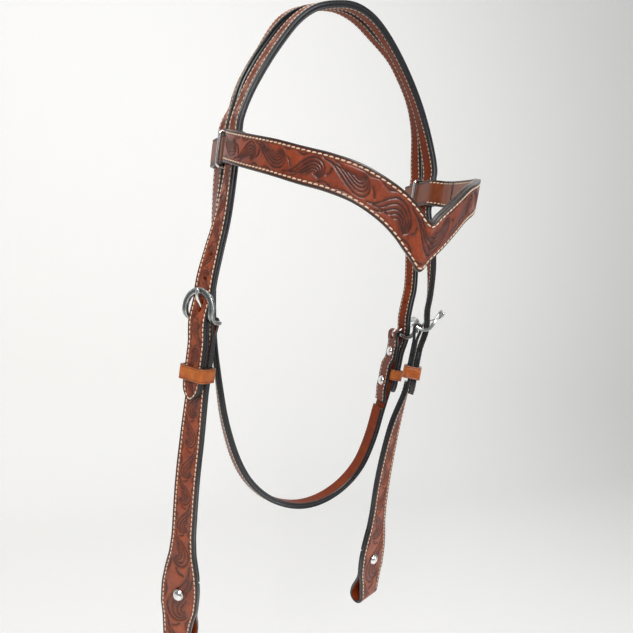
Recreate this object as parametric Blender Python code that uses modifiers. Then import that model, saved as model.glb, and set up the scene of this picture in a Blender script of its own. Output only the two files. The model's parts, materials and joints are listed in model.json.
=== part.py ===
"""Western headstall with a V browband, hanging from its crown.

Metres, +Z up, -Y towards the front of the browband, +X the horse's near side.
The origin is the point of the crown's lining that rests on whatever holds the headstall up.
"""

import math

import bmesh
import bpy
import numpy as np
from mathutils import Matrix, Vector

MM = 0.001

# Leather
layer = 2.2 * MM
gap = 0.3 * MM
billet_width = 17.0 * MM
cheek_width = 19.0 * MM
leaf_width = 32.0 * MM
station_step = 8.0 * MM
side_step = 5.0 * MM
throat_step = 5.5 * MM
fine_step = 2.75 * MM
leaf_step = 4.5 * MM
spline_samples = 12

# Crown
crown_slot = 4.2 * MM
crown_joined_half = 22.0 * MM
rear_step = 3.0 * MM
rear_step_run = 33.0 * MM
rear_step_low_share = 0.14
rear_step_high_share = 0.44
arch_height = 118.0 * MM
arch_half_width = 86.0 * MM
front_edge_y = -19.0 * MM
side_lean = 7.0
left_shoulder_lean = 12.0
right_shoulder_lean = 22.0
apex_lean = 19.0
shoulder_share = 0.5
apex_share = 0.75
rear_turn = 13.0
rear_turn_start = 19.0 * MM
rear_turn_full = 34.0 * MM
rear_turn_fade_share = 0.6
rear_turn_end_share = 0.9

# Sides: heights are counted from the middle of the straps' upright stretch in the browband's loops
loop_straight_top = 17.0 * MM
loop_straight_bottom = -15.0 * MM
left_bar_z = -122.0 * MM
right_bar_z = -113.0 * MM
throat_bar_z = -123.0 * MM
billet_past_bar = 56.0 * MM
billet_tip_share = 0.7
billet_nose_share = 0.24
keeper_below_bar = 37.5 * MM
throat_keeper_below_bar = 36.3 * MM
dome_below_bar = 205.0 * MM
leaf_below_dome = 32.5 * MM
leaf_above_dome = 46.0 * MM

# Folds
bar_radius = 1.5 * MM
fold_length = 42.0 * MM
fold_taper = 11.0 * MM
bit_loop_radius = 4.5 * MM
bit_fold_above_dome = 11.0 * MM
bit_fold_settled = 25.0 * MM
slot_half_width = 2.3 * MM
slot_low = -4.7 * MM
slot_high = 9.3 * MM
bar_relief = 2.1 * MM
bar_relief_length = 19.0 * MM

# Buckles
buckle_side_clearance = 0.9 * MM
buckle_band = 4.2 * MM
buckle_thickness = 2.4 * MM
buckle_straight = 8.5 * MM
buckle_bend = 7.0 * MM
buckle_heel = 1.8 * MM
buckle_heel_band = 3.0 * MM
arch_clearance = 0.6 * MM
right_swing = 20.0
throat_swing = 20.0
tongue_radius = 1.25 * MM
tongue_past_arch = 1.7 * MM
tongue_step = 2.4 * MM
hole_width = 3.4 * MM
hole_spacing = 17.0 * MM
hole_play = 4.2 * MM
hole_play_up = 1.4 * MM
spare_holes = 2
spare_hole_share = 0.7
hole_sides = 14

# Keepers
keeper_height = 10.5 * MM
throat_keeper_height = 9.8 * MM
keeper_wall = 2.0 * MM
keeper_clearance = 0.5 * MM
keeper_corner = 1.2 * MM

# Screws
dome_radius = 4.3 * MM
dome_height = 2.6 * MM
post_head_height = 1.2 * MM
post_edge_height = 0.7 * MM
post_floor = 0.5 * MM
post_head_radius = 4.1 * MM
post_face_radius = 3.2 * MM
barrel_radius = 2.2 * MM
barrel_bore = 1.5 * MM
shank_radius = 1.1 * MM
shank_length_share = 0.6
screw_sides = 14

# Throatlatch
throat_y = 11.5 * MM
throat_screw_upper = 16.7 * MM
throat_screw_lower = 44.0 * MM
throat_fold_length = 63.0 * MM
throat_room_start = 21.5 * MM
throat_room_full = 29.8 * MM
throat_room_end = 49.5 * MM
throat_under_keeper = keeper_wall + 2.0 * keeper_clearance
THROAT_TILT_SHARES = ((0.0, 7.0), (0.04, 7.0), (0.115, -5.0), (0.19, -10.0), (0.33, -9.0), (0.58, 17.0), (0.72, 12.0),
                      (0.84, 7.0), (1.0, 7.0))

# Browband
browband_height = 20.2 * MM
browband_z = -1.0 * MM
browband_left_half = 88.5 * MM
browband_right_half = 87.0 * MM
browband_reach = 135.0 * MM
browband_drop = 56.5 * MM
browband_layer = 2.2 * MM
loop_clearance = 0.6 * MM
loop_step = 5.2 * MM
inner_run = 30.0 * MM
inner_run_join = 16.0 * MM
wire_radius = 1.3 * MM
ring_clearance = 0.5 * MM
ring_corner = 2.0 * MM

weld_distance = 0.01 * MM
strap = 2.0 * layer + gap
inner_layer_n = layer / 2.0
outer_layer_n = layer + gap + layer / 2.0
bar_n = -(layer + gap / 2.0)
crown_width = 2.0 * billet_width + crown_slot
billet_centre = billet_width / 2.0
throat_offset = billet_width + crown_slot

# Routes. A row of a side line holds height, sideways and front-to-back place, and the angle in
# degrees that the strap's outer face is turned from the front towards its own side.
LEFT_TOP = (
    (loop_straight_top, -78.1 * MM, -10.2 * MM, 83.0),
    (0.0, -78.1 * MM, -10.2 * MM, 83.0),
    (loop_straight_bottom, -78.1 * MM, -10.2 * MM, 83.0),
    (-48.0 * MM, -80.3 * MM, -11.2 * MM, 73.0),
    (-74.0 * MM, -84.4 * MM, -12.2 * MM, 63.0),
)
LEFT_STRAIGHT = ((-94.0 * MM, -87.3 * MM, -13.1 * MM, 56.0), (-176.0 * MM, -88.4 * MM, -14.2 * MM, 56.0))
LEFT_BOTTOM = (
    (-208.0 * MM, -88.0 * MM, -14.0 * MM, 47.0),
    (-243.0 * MM, -87.7 * MM, -14.3 * MM, 45.0),
    (-290.0 * MM, -85.6 * MM, -15.0 * MM, 45.0),
    (-330.0 * MM, -83.6 * MM, -15.5 * MM, 45.0),
    (-380.0 * MM, -82.0 * MM, -16.0 * MM, 45.0),
)
RIGHT_TOP = (
    (loop_straight_top, 83.6 * MM, -10.2 * MM, 83.0),
    (0.0, 83.6 * MM, -10.2 * MM, 83.0),
    (loop_straight_bottom, 83.6 * MM, -10.2 * MM, 83.0),
    (-31.0 * MM, 88.4 * MM, -11.3 * MM, 77.5),
    (-47.0 * MM, 93.8 * MM, -12.8 * MM, 70.5),
    (-63.0 * MM, 96.8 * MM, -14.6 * MM, 62.5),
)
RIGHT_STRAIGHT = ((-84.0 * MM, 97.4 * MM, -16.9 * MM, 54.0), (-168.0 * MM, 89.8 * MM, -21.0 * MM, 51.0))
RIGHT_BOTTOM = (
    (-200.0 * MM, 83.5 * MM, -21.0 * MM, 33.0),
    (-244.0 * MM, 80.0 * MM, -21.0 * MM, 24.0),
    (-290.0 * MM, 80.3 * MM, -21.0 * MM, 22.0),
    (-325.0 * MM, 81.0 * MM, -21.0 * MM, 22.0),
    (-380.0 * MM, 84.0 * MM, -21.0 * MM, 22.0),
)
# The crown's front edge between the loops: sideways share of the half width, height share.
ARCH_SHARES = (
    (-0.90, 0.30), (-0.80, 0.485), (-0.685, 0.655), (-0.565, 0.80), (-0.42, 0.905), (-0.24, 0.97),
    (-0.06, 1.0), (0.13, 0.972), (0.33, 0.875), (0.55, 0.716), (0.745, 0.534), (0.915, 0.322),
)
# The throatlatch's outer face: sideways place and height, from the left loop to the throat buckle.
THROAT_LEFT = (
    (-84.0 * MM, -50.0 * MM), (-81.5 * MM, -95.0 * MM), (-76.5 * MM, -135.0 * MM),
    (-68.5 * MM, -170.0 * MM), (-59.5 * MM, -204.0 * MM), (-46.5 * MM, -236.0 * MM),
    (-31.0 * MM, -258.5 * MM), (-10.0 * MM, -274.5 * MM), (14.0 * MM, -281.5 * MM),
    (37.0 * MM, -278.5 * MM), (58.5 * MM, -266.0 * MM), (74.5 * MM, -246.0 * MM),
    (83.0 * MM, -220.0 * MM), (87.0 * MM, -195.0 * MM),
)
THROAT_TOP = ((loop_straight_bottom, 86.2 * MM), (-50.0 * MM, 93.1 * MM))
THROAT_STRAIGHT = ((-78.0 * MM, 96.9 * MM), (-176.0 * MM, 91.0 * MM))
# Browband seen from above, then how far its middle hangs down on each side.
BROW_PLAN_SHARES = (
    (1.0, 0.18), (0.985, 0.31), (0.925, 0.45), (0.835, 0.595), (0.715, 0.72), (0.565, 0.82),
    (0.40, 0.90), (0.205, 0.965), (0.0, 1.0),
)
BROW_LEFT_DROP_SHARES = (0.04, 0.12, 0.20, 0.28, 0.361, 0.425, 0.521, 0.71, 1.0)
BROW_RIGHT_DROP_SHARES = (0.01, 0.06, 0.11, 0.165, 0.23, 0.345, 0.472, 0.715, 1.0)
# Share of the half width away from the tip, and degrees that the browband's lower edge is tucked in there.
BROW_LEAN_SHARES = ((0.0, 11.0), (0.45, 4.5), (0.75, 0.0))
LEAF_SHARES = ((0.0, 0.0), (0.30, 0.20), (0.62, 0.72), (0.86, 0.98), (1.0, 1.0))
LEAF_END_SHARES = ((0.0, 1.0), (0.30, 0.93), (0.62, 0.55), (1.0, 0.30))
# A tongue's climb from its bar: share of the arch's reach, share of the height of the hole's far side.
TONGUE_HOLE_SHARES = ((0.27, 0.36), (0.42, 0.72), (0.57, 1.07))
TONGUE_REST_SHARES = ((0.74, 0.93), (0.90, 1.01))


class Frame:
    """A place on a strap: point, direction across the strap and direction out of its face."""

    def __init__(self, point, across, outward):
        self.point = np.array(point, float)
        self.across = np.array(across, float)
        self.outward = np.array(outward, float)

    def at(self, across, outward):
        return self.point + self.across * across + self.outward * outward


def unit(vector):
    return np.array(vector, float) / np.linalg.norm(vector)


def smooth_rows(rows, step=station_step):
    """Catmull-Rom curve through rows of numbers, sampled evenly by the length of the first three."""
    rows = [np.array(row, float) for row in rows]
    ends = [2.0 * rows[0] - rows[1]] + rows + [2.0 * rows[-1] - rows[-2]]
    dense = []
    for i in range(1, len(ends) - 2):
        a, b, c, d = ends[i - 1:i + 3]
        for t in np.linspace(0.0, 1.0, spline_samples, endpoint=False):
            dense.append(0.5 * (2 * b + (c - a) * t + (2 * a - 5 * b + 4 * c - d) * t**2
                                + (3 * b - 3 * c + d - a) * t**3))
    dense.append(rows[-1])
    dense = np.array(dense)
    lengths = lengths_along(dense[:, :3])
    count = max(3, int(round(lengths[-1] / step)) + 1)
    wanted = np.linspace(0.0, lengths[-1], count)
    return np.column_stack([np.interp(wanted, lengths, dense[:, k]) for k in range(dense.shape[1])])


def lengths_along(points):
    return np.concatenate([[0.0], np.cumsum(np.linalg.norm(np.diff(points, axis=0), axis=1))])


def side_rows(top, straight, bottom):
    """The side line as rows of x, y, z and angle, with its straight stretch in even pieces."""
    rows = [(x, y, z, angle) for z, x, y, angle in top]
    first, last = (np.array((x, y, z, angle)) for z, x, y, angle in straight)
    rows += [tuple(first + (last - first) * share) for share in np.linspace(0.0, 1.0, 6)]
    rows += [(x, y, z, angle) for z, x, y, angle in bottom]
    return smooth_rows(rows, side_step)


def turned_frame(point, along, angle, side):
    """Frame of a hanging strap whose face looks angle degrees from the front to its side."""
    angle = math.radians(angle)
    outward = np.array((side * math.sin(angle), -math.cos(angle), 0.0))
    outward = unit(outward - along * np.dot(outward, along))
    across = np.cross(outward, along) * side
    return Frame(point, across, outward)


def line_frames(rows, side):
    """Frames along a side line; across points rearwards."""
    points = rows[:, :3]
    along = np.gradient(points, axis=0)
    return [turned_frame(p, unit(a), row[3], side) for p, a, row in zip(points, along, rows)]


def between(a, b, share):
    mixed = [(1.0 - share) * getattr(a, k) + share * getattr(b, k) for k in ("point", "across", "outward")]
    return Frame(mixed[0], unit(mixed[1]), unit(mixed[2]))


def frame_at(frames, z):
    """The frame of a line at height z, between its two nearest stations."""
    for a, b in zip(frames, frames[1:]):
        if b.point[2] <= z <= a.point[2]:
            return between(a, b, (a.point[2] - z) / (a.point[2] - b.point[2]))
    return frames[-1] if z < frames[-1].point[2] else frames[0]


def frames_between(frames, top, bottom):
    inside = [f for f in frames if bottom + gap < f.point[2] < top - gap]
    return [frame_at(frames, top)] + inside + [frame_at(frames, bottom)]


def distance_along(frames):
    return lengths_along(np.array([f.point for f in frames]))


def frame_along(frames, travelled, distance):
    low = min(max(int(np.searchsorted(travelled, distance, side="right")) - 1, 0), len(frames) - 2)
    return between(frames[low], frames[low + 1],
                   (distance - travelled[low]) / (travelled[low + 1] - travelled[low]))


def resample(frames, fine_length, step):
    """The same line with close stations over its first stretch and wider ones after it."""
    travelled = distance_along(frames)
    fine = np.linspace(0.0, fine_length, int(round(fine_length / fine_step)), endpoint=False)
    rest = np.linspace(fine_length, travelled[-1], int(round((travelled[-1] - fine_length) / step)) + 1)
    return [frame_along(frames, travelled, d) for d in np.concatenate([fine, rest])]


def share_curve(shares, t):
    return float(np.interp(t, [s[0] for s in shares], [s[1] for s in shares]))


def ease(t):
    t = min(max(t, 0.0), 1.0)
    return t * t * (3.0 - 2.0 * t)


# Objects and materials

def material(name, colour, roughness, metallic):
    made = bpy.data.materials.new(name)
    made.use_nodes = True
    shader = made.node_tree.nodes["Principled BSDF"]
    shader.inputs["Base Color"].default_value = (*colour, 1.0)
    shader.inputs["Roughness"].default_value = roughness
    shader.inputs["Metallic"].default_value = metallic
    made.diffuse_color = (*colour, 1.0)
    return made


def add_object(name, mesh, made_of, collection, location=(0.0, 0.0, 0.0)):
    piece = bpy.data.objects.new(name, mesh)
    piece.location = location
    if made_of:
        mesh.materials.clear()
        mesh.materials.append(made_of)
    collection.objects.link(piece)
    return piece


def surface_mesh(name, rows):
    """Open surface through rows of points."""
    build = bmesh.new()
    grid = [[build.verts.new(Vector(point)) for point in row] for row in rows]
    for a, b in zip(grid, grid[1:]):
        for j in range(len(a) - 1):
            build.faces.new((a[j], a[j + 1], b[j + 1], b[j]))
    mesh = bpy.data.meshes.new(name)
    build.to_mesh(mesh)
    build.free()
    return mesh


def solidify(piece, thickness):
    shell = piece.modifiers.new("leather", "SOLIDIFY")
    shell.thickness = thickness
    shell.offset = 0.0
    shell.use_even_offset = True
    return piece


def strip(name, frames, widths, thickness, made_of, collection):
    """A strap layer whose middle surface follows the frames."""
    rows = [[f.at(-w / 2.0, 0.0), f.at(w / 2.0, 0.0)] for f, w in zip(frames, widths)]
    return solidify(add_object(name, surface_mesh(name, rows), made_of, collection), thickness)


def cut(piece, cutter):
    step = piece.modifiers.new("cut", "BOOLEAN")
    step.operation = "DIFFERENCE"
    step.object = cutter
    step.solver = "EXACT"


def local_matrix(frame):
    """Axes for a fitting on a strap: x across, y up the strap, z out of its face."""
    x, z = unit(frame.across), unit(frame.outward)
    y = np.cross(z, x)
    if y[2] < 0.0:
        x, y = -x, -y
    columns = Matrix((x, y, z)).transposed().to_4x4()
    columns.translation = Vector(frame.point)
    return columns


def box_cutter(name, size, matrix, centre, tilt, collection):
    build = bmesh.new()
    bmesh.ops.create_cube(build, size=1.0)
    bmesh.ops.scale(build, vec=Vector(size), verts=build.verts)
    bmesh.ops.rotate(build, cent=(0, 0, 0), matrix=Matrix.Rotation(tilt, 3, "X"), verts=build.verts)
    bmesh.ops.translate(build, vec=Vector(centre), verts=build.verts)
    mesh = bpy.data.meshes.new(name)
    build.to_mesh(mesh)
    build.free()
    return place_cutter(name, mesh, matrix, collection)


def round_cutter(name, radius, height, matrix, centre, collection):
    build = bmesh.new()
    bmesh.ops.create_cone(build, cap_ends=True, segments=hole_sides, radius1=radius, radius2=radius, depth=height)
    bmesh.ops.translate(build, vec=Vector(centre), verts=build.verts)
    mesh = bpy.data.meshes.new(name)
    build.to_mesh(mesh)
    build.free()
    return place_cutter(name, mesh, matrix, collection)


def place_cutter(name, mesh, matrix, collection):
    cutter = add_object(name, mesh, None, collection)
    cutter.matrix_world = matrix
    cutter.hide_render = True
    cutter.display_type = "WIRE"
    return cutter


# Straps

def fold_frames(frames, length, room):
    """Middle line of a layer that comes up a strap, round its buckle bar and back down inside.

    The room is what the returned part keeps free behind the outer one at each distance.
    """
    at_bar = bar_radius + gap + layer / 2.0
    apart = layer / 2.0 + gap / 2.0

    def half_gap(distance):
        return apart + (at_bar - apart) * (1.0 - ease(distance / fold_taper))

    travelled = distance_along(frames)
    front = [Frame(f.at(0.0, bar_n + half_gap(d)), f.across, f.outward) for f, d in zip(frames, travelled)]
    up = -unit(frames[1].point - frames[0].point)
    turn = []
    for angle in np.linspace(0.0, math.pi, 7)[1:-1]:
        arm = up * math.sin(angle) + frames[0].outward * math.cos(angle)
        turn.append(Frame(frames[0].at(0.0, bar_n) + arm * at_bar, frames[0].across, arm))
    inner = [(f, d) for f, d in zip(frames, travelled) if d < length - gap]
    inner.append((frame_along(frames, travelled, length), length))
    back = [Frame(f.at(0.0, bar_n - half_gap(d) - room(d)), f.across, -f.outward) for f, d in inner]
    return front, turn, back


def cheek_widths(distances, end):
    """Width along a cheek strap: even, then the leaf, then its narrower folded end."""
    grow = leaf_width - cheek_width
    leaf_start = end - leaf_below_dome - leaf_above_dome
    widths = []
    for d in distances:
        if d < end - leaf_below_dome:
            share = share_curve(LEAF_SHARES, (d - leaf_start) / leaf_above_dome)
        else:
            share = share_curve(LEAF_END_SHARES, (d - end + leaf_below_dome) / leaf_below_dome)
        widths.append(cheek_width + grow * share)
    return widths


def bit_fold(frames, widths):
    """The cheek's lower end: round the bit and up again behind, to above the screw."""
    radius = bit_loop_radius + layer / 2.0
    last = frames[-1]
    down = unit(last.point - frames[-2].point)
    centre = last.at(0.0, -layer / 2.0 - radius)
    folded, folded_widths = [], []
    for angle in np.linspace(0.0, math.pi, 9)[1:]:
        arm = last.outward * math.cos(angle) + down * math.sin(angle)
        folded.append(Frame(centre + arm * radius, last.across, arm))
        folded_widths.append(widths[-1])
    climb = leaf_below_dome + bit_fold_above_dome
    travelled = distance_along(frames)
    for share in np.linspace(0.0, 1.0, 12)[1:]:
        place = travelled[-1] - climb * share
        settled = ease(share * climb / bit_fold_settled)
        depth = (layer / 2.0 + 2.0 * radius) * (1.0 - settled) + (strap - layer / 2.0) * settled
        front = frame_along(frames, travelled, place)
        folded.append(Frame(front.at(0.0, -depth), last.across, -last.outward))
        folded_widths.append(float(np.interp(place, travelled, widths)) - gap * 2.0)
    return folded, folded_widths


def bar_slot(name, frame, cutters):
    """Cutter for the slot in a fold that a buckle's tongue passes."""
    size = (slot_half_width * 2.0, slot_high - slot_low, strap * 3.0)
    return box_cutter(name, size, local_matrix(frame), (0.0, (slot_low + slot_high) / 2.0, 0.0), 0.0, cutters)


def build_cheek(side_name, frames, bar_z, made_of, lining, parts, cutters):
    """Outer layer folded round the buckle bar and the bit, lining between the two folds."""
    line = frames_between(frames, bar_z, bar_z - dome_below_bar - leaf_below_dome)
    line = resample(line, fold_taper, leaf_step)
    travelled = distance_along(line)
    widths = cheek_widths(travelled, travelled[-1])
    front, turn, back = fold_frames(line, fold_length, lambda d: 0.0)
    lower, lower_widths = bit_fold(line, widths)
    path = back[::-1] + turn[::-1] + front + lower
    path_widths = [cheek_width] * len(turn + back) + widths + lower_widths
    outer = strip(f"cheek_{side_name}_outer", path, path_widths, layer, made_of, parts)
    lining_end = travelled[-1] - leaf_below_dome - bit_fold_above_dome - gap * 2.0
    inside = [(f, w) for f, w, d in zip(line, widths, travelled) if fold_length + gap * 2.0 < d < lining_end]
    lined = [Frame(f.at(0.0, layer / 2.0 - strap), f.across, f.outward) for f, _ in inside]
    strip(f"cheek_{side_name}_lining", lined, [w for _, w in inside], layer, lining, parts)
    cut(outer, bar_slot(f"slot_{side_name}", frame_at(frames, bar_z), cutters))
    dome = local_matrix(frame_at(frames, bar_z - dome_below_bar))
    cut(outer, round_cutter(f"screw_hole_{side_name}", barrel_radius + gap, strap * 3.0, dome,
                            (0.0, 0.0, -strap / 2.0), cutters))


def billet_lift(below_bar):
    """How far a billet stands off its strap's line: over the fold at the bar, then a gap below it."""
    bulge = 0.5 * (1.0 + math.cos(math.pi * min(abs(below_bar) / bar_relief_length, 1.0)))
    return bar_relief * bulge + gap * ease((below_bar + bar_relief_length) / bar_relief_length)


def billet_rows(frames, bar_z, n):
    """Edge points of a billet's layer below the loops, down to its rounded tip."""
    tip_z = bar_z - billet_past_bar
    tip_length = billet_width * billet_tip_share
    top = loop_straight_bottom - station_step / 2.0
    line = [f for f in frames if tip_z + tip_length + gap < f.point[2] < top]
    widths = [billet_width] * len(line)
    for share in np.linspace(0.0, 1.0, 7):
        line.append(frame_at(frames, tip_z + tip_length * (1.0 - share)))
        widths.append(billet_width * max(math.sqrt(max(1.0 - share**2, 0.0)), billet_nose_share))
    rows = []
    for f, w in zip(line, widths):
        out = n + billet_lift(bar_z - f.point[2])
        rows.append([f.at(-w / 2.0, out), f.at(w / 2.0, out)])
    return rows


def crown_lean(point):
    """Degrees that the crown's rear edge is turned outwards at a point of its front edge."""
    height = point[2] / arch_height
    shoulder = left_shoulder_lean if point[0] < 0.0 else right_shoulder_lean
    rise = (point[2] - loop_straight_top) / (shoulder_share * arch_height)
    lean = side_lean + (shoulder - side_lean) * ease(rise)
    return lean + (apex_lean - shoulder) * ease((height - apex_share) / (1.0 - apex_share))


def crown_frames(left, right):
    """Frames of the crown's front edge on its outer face, from the left loop to the right."""
    ends = [frame_at(frames, loop_straight_top).at(-billet_centre, strap) for frames in (left, right)]
    rows = [(ends[0][0], front_edge_y, loop_straight_bottom), (ends[0][0], front_edge_y, 0.0), tuple(ends[0])]
    rows += [(x * arch_half_width, front_edge_y, z * arch_height) for x, z in ARCH_SHARES]
    rows += [tuple(ends[1]), (ends[1][0], front_edge_y, 0.0), (ends[1][0], front_edge_y, loop_straight_bottom)]
    points = smooth_rows(rows)
    straight = points[:, 2] < loop_straight_top
    middle = points[:, 0] < 0.0
    points[straight & middle, 0] = ends[0][0]
    points[straight & ~middle, 0] = ends[1][0]
    points[:, 1] = np.where(middle, ends[0][1], ends[1][1])
    frames = []
    for point, step in zip(points, np.gradient(points, axis=0)):
        step = unit((step[0], 0.0, step[2]))
        out = np.array((-step[2], 0.0, step[0]))
        lean = math.radians(crown_lean(point))
        across = np.array((0.0, math.cos(lean), 0.0)) + out * math.sin(lean)
        outward = out * math.cos(lean) - np.array((0.0, math.sin(lean), 0.0))
        frames.append(Frame(point, across, outward))
    return frames


def rear_strap_turn(point):
    """Degrees that the left rear strap is turned in from the plane of the front one."""
    if point[0] > 0.0:
        return 0.0
    rise = ease((point[2] - rear_turn_start) / (rear_turn_full - rear_turn_start))
    fade = (point[2] / arch_height - rear_turn_fade_share) / (rear_turn_end_share - rear_turn_fade_share)
    return rear_turn * rise * (1.0 - ease(fade))


def crown_rows(frames, depth):
    """Four points across the crown at each station, front strap then rear strap, and where it is whole."""
    travelled = distance_along(frames)
    apex = travelled[max(range(len(frames)), key=lambda i: frames[i].point[2])]
    rows = []
    for f, d in zip(frames, travelled):
        high = (f.point[2] / arch_height - rear_step_low_share) / (rear_step_high_share - rear_step_low_share)
        step = rear_step * ease((abs(d - apex) - crown_joined_half) / rear_step_run) * ease(high)
        turn = math.radians(rear_strap_turn(f.point))
        rear = f.at(throat_offset, depth + step)
        far = rear + billet_width * (f.across * math.cos(turn) - f.outward * math.sin(turn))
        rows.append([f.at(0.0, depth), f.at(billet_width, depth), rear, far])
    return rows, [abs(d - apex) < crown_joined_half for d in travelled]


def build_crown(frames, left, right, throat_right, outer_leather, lining_leather, parts):
    """Both layers of the crown: two straps each side, joined over the top of the head."""
    made = []
    for name, n, leather in (("crown_outer", outer_layer_n, outer_leather),
                             ("crown_lining", inner_layer_n, lining_leather)):
        rows, joined = crown_rows(frames, n - strap)
        billets = (billet_rows(left, left_bar_z, n)[::-1], billet_rows(right, right_bar_z, n))
        rear = billet_rows(throat_right, throat_bar_z, n)
        made.append(crown_layer(name, rows, joined, billets, rear, leather, parts))
    return made


def rear_start(rows):
    """Where the left rear strap ends inside its loop: its first whole station and the cut end."""
    first = next(i for i, row in enumerate(rows) if row[2][2] > gap * 2.0)
    low, high = rows[first - 1], rows[first]
    share = (gap - low[2][2]) / (high[2][2] - low[2][2])
    return first, [a + (b - a) * share for a, b in zip(low[2:], high[2:])]


def crown_layer(name, rows, joined, billets, rear_billet, leather, parts):
    build = bmesh.new()

    def line_of(points):
        return [[build.verts.new(Vector(p)) for p in row] for row in points]

    front = line_of(billets[0] + [row[:2] for row in rows] + billets[1])
    start, end = rear_start(rows)
    rear = line_of([end] + [row[2:] for row in rows[start:]] + rear_billet)
    for grid in (front, rear):
        for a, b in zip(grid, grid[1:]):
            build.faces.new((a[0], a[1], b[1], b[0]))
    for i in range(len(rows) - 1):
        if joined[i] and joined[i + 1]:
            a, b = front[len(billets[0]) + i:len(billets[0]) + i + 2]
            c, d = rear[1 + i - start:3 + i - start]
            build.faces.new((a[1], c[0], d[0], b[1]))
    mesh = bpy.data.meshes.new(name)
    build.to_mesh(mesh)
    build.free()
    return solidify(add_object(name, mesh, leather, parts), layer)


def throat_frames(left_start, right_line):
    """The throatlatch's outer face from the left loop, under the jaw and up to its buckle."""
    rows = [tuple(left_start), (left_start[0], left_start[1], loop_straight_bottom)]
    rows += [(x, throat_y, z) for x, z in THROAT_LEFT]
    climb = [f for f in right_line if THROAT_STRAIGHT[1][0] < f.point[2] < throat_bar_z - gap]
    rows += [tuple(f.point) for f in climb[::-1][::2]]
    rows.append(tuple(frame_at(right_line, throat_bar_z).point))
    points = smooth_rows(rows, throat_step)
    travelled = lengths_along(points)
    frames = []
    for point, step, d in zip(points, np.gradient(points, axis=0), travelled):
        step = unit(step)
        tilt = math.radians(share_curve(THROAT_TILT_SHARES, d / travelled[-1]))
        out = unit((step[2], 0.0, -step[0]))
        across = out * math.sin(tilt) + np.array((0.0, math.cos(tilt), 0.0))
        across = unit(across - step * np.dot(across, step))
        frames.append(Frame(point, across, np.cross(across, step)))
    return frames


def throat_side_line():
    """The line on the right where the throat billet lies on the throatlatch."""
    start, end = THROAT_STRAIGHT
    upright = 90.0 - side_lean
    rows = [(THROAT_TOP[0][1], throat_y, z, upright) for z in (loop_straight_top, 0.0)]
    rows += [(x, throat_y, z, upright) for z, x in THROAT_TOP]
    rows += [(start[1] + (end[1] - start[1]) * s, throat_y, start[0] + (end[0] - start[0]) * s, upright)
             for s in np.linspace(0.0, 1.0, 7)]
    return smooth_rows(rows, side_step)


def keeper_room(distance):
    """What the throatlatch's fold keeps free for the keeper that passes inside it."""
    rise = ease((distance - throat_room_start) / (throat_room_full - throat_room_start))
    fall = ease((throat_fold_length - distance) / (throat_fold_length - throat_room_end))
    return (throat_under_keeper - gap) * rise * fall


def build_throatlatch(frames, right_line, outer_leather, lining_leather, parts, cutters):
    """Outer layer folded round its buckle bar; the lining stops where the fold ends."""
    line = resample(frames[::-1], throat_fold_length, throat_step)
    front, turn, back = fold_frames(line, throat_fold_length, keeper_room)
    path = front[::-1] + turn + back
    outer = strip("throatlatch_outer", path, [billet_width] * len(path), layer, outer_leather, parts)
    inside = [Frame(f.at(0.0, layer / 2.0 - strap), f.across, f.outward)
              for f, d in zip(line, distance_along(line)) if d > throat_fold_length + gap * 2.0]
    strip("throatlatch_lining", inside, [billet_width] * len(inside), layer, lining_leather, parts)
    cut(outer, bar_slot("slot_throat", frame_at(right_line, throat_bar_z), cutters))
    for number, below in enumerate((throat_screw_upper, throat_screw_lower), 1):
        place = local_matrix(frame_at(right_line, throat_bar_z - below))
        cut(outer, round_cutter(f"screw_hole_throat_{number}", barrel_radius + gap, strap * 3.0, place,
                                (0.0, 0.0, -strap / 2.0), cutters))
        sink = (post_head_height + gap) * 2.0
        cut(outer, round_cutter(f"post_seat_{number}", post_head_radius + gap, sink, place, (0.0, 0.0, 0.0),
                                cutters))


# Browband

def brow_plan(left, right):
    """Middle line of the browband's outer layer from one loop to the other."""
    rise = strap + loop_clearance + browband_layer / 2.0
    halves = []
    for f, half_width, drops in ((left, -browband_left_half, BROW_LEFT_DROP_SHARES),
                                 (right, browband_right_half, BROW_RIGHT_DROP_SHARES)):
        arm = [(*f.at(-billet_centre - loop_clearance, rise)[:2], browband_z)]
        arm += [(half_width * x, -browband_reach * y, browband_z - browband_drop * d)
                for (x, y), d in zip(BROW_PLAN_SHARES, drops)]
        halves.append(smooth_rows(arm))
    return halves[0], halves[1][::-1][1:]


def brow_loop(f):
    """Round the two straps: from the outer run's front, back round the rear edge and forward."""
    outer_n = strap + loop_clearance + browband_layer / 2.0
    inner_n = -loop_clearance - browband_layer / 2.0
    radius = (outer_n - inner_n) / 2.0
    rear = throat_offset + billet_width - billet_centre + loop_clearance
    count = int(round((rear + billet_centre) / loop_step))
    points = [f.at(t, outer_n) for t in np.linspace(-billet_centre, rear, count)[1:]]
    for angle in np.linspace(0.0, math.pi, 7)[1:-1]:
        points.append(f.at(rear + radius * math.sin(angle), inner_n + radius + radius * math.cos(angle)))
    points += [f.at(t, inner_n) for t in np.linspace(rear, -billet_centre, count)]
    for point in points:
        point[2] = browband_z
    return points


def plan_normals(points):
    """Unit normals in plan on the outside of a run that goes from left to right past the front."""
    along = np.gradient(np.array(points)[:, :2], axis=0)
    return [unit((a[1], -a[0], 0.0)) for a in along]


def brow_halves(points):
    """From the middle line to the upper edge: square to the run's slope, tucked in below near the tip."""
    steps = np.diff(points, axis=0)
    slopes = np.abs(steps[:, 2]) / np.linalg.norm(steps[:, :2], axis=1)
    slopes = (np.append(slopes[:1], slopes) + np.append(slopes, slopes[-1:])) / 2.0
    halves = []
    for point, normal, slope in zip(points, plan_normals(points), slopes):
        lean = math.radians(share_curve(BROW_LEAN_SHARES, abs(point[0]) / browband_left_half))
        half = browband_height / 2.0 * math.hypot(1.0, slope)
        halves.append(half * (normal * math.sin(lean) + np.array((0.0, 0.0, math.cos(lean)))))
    return np.array(halves)


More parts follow.
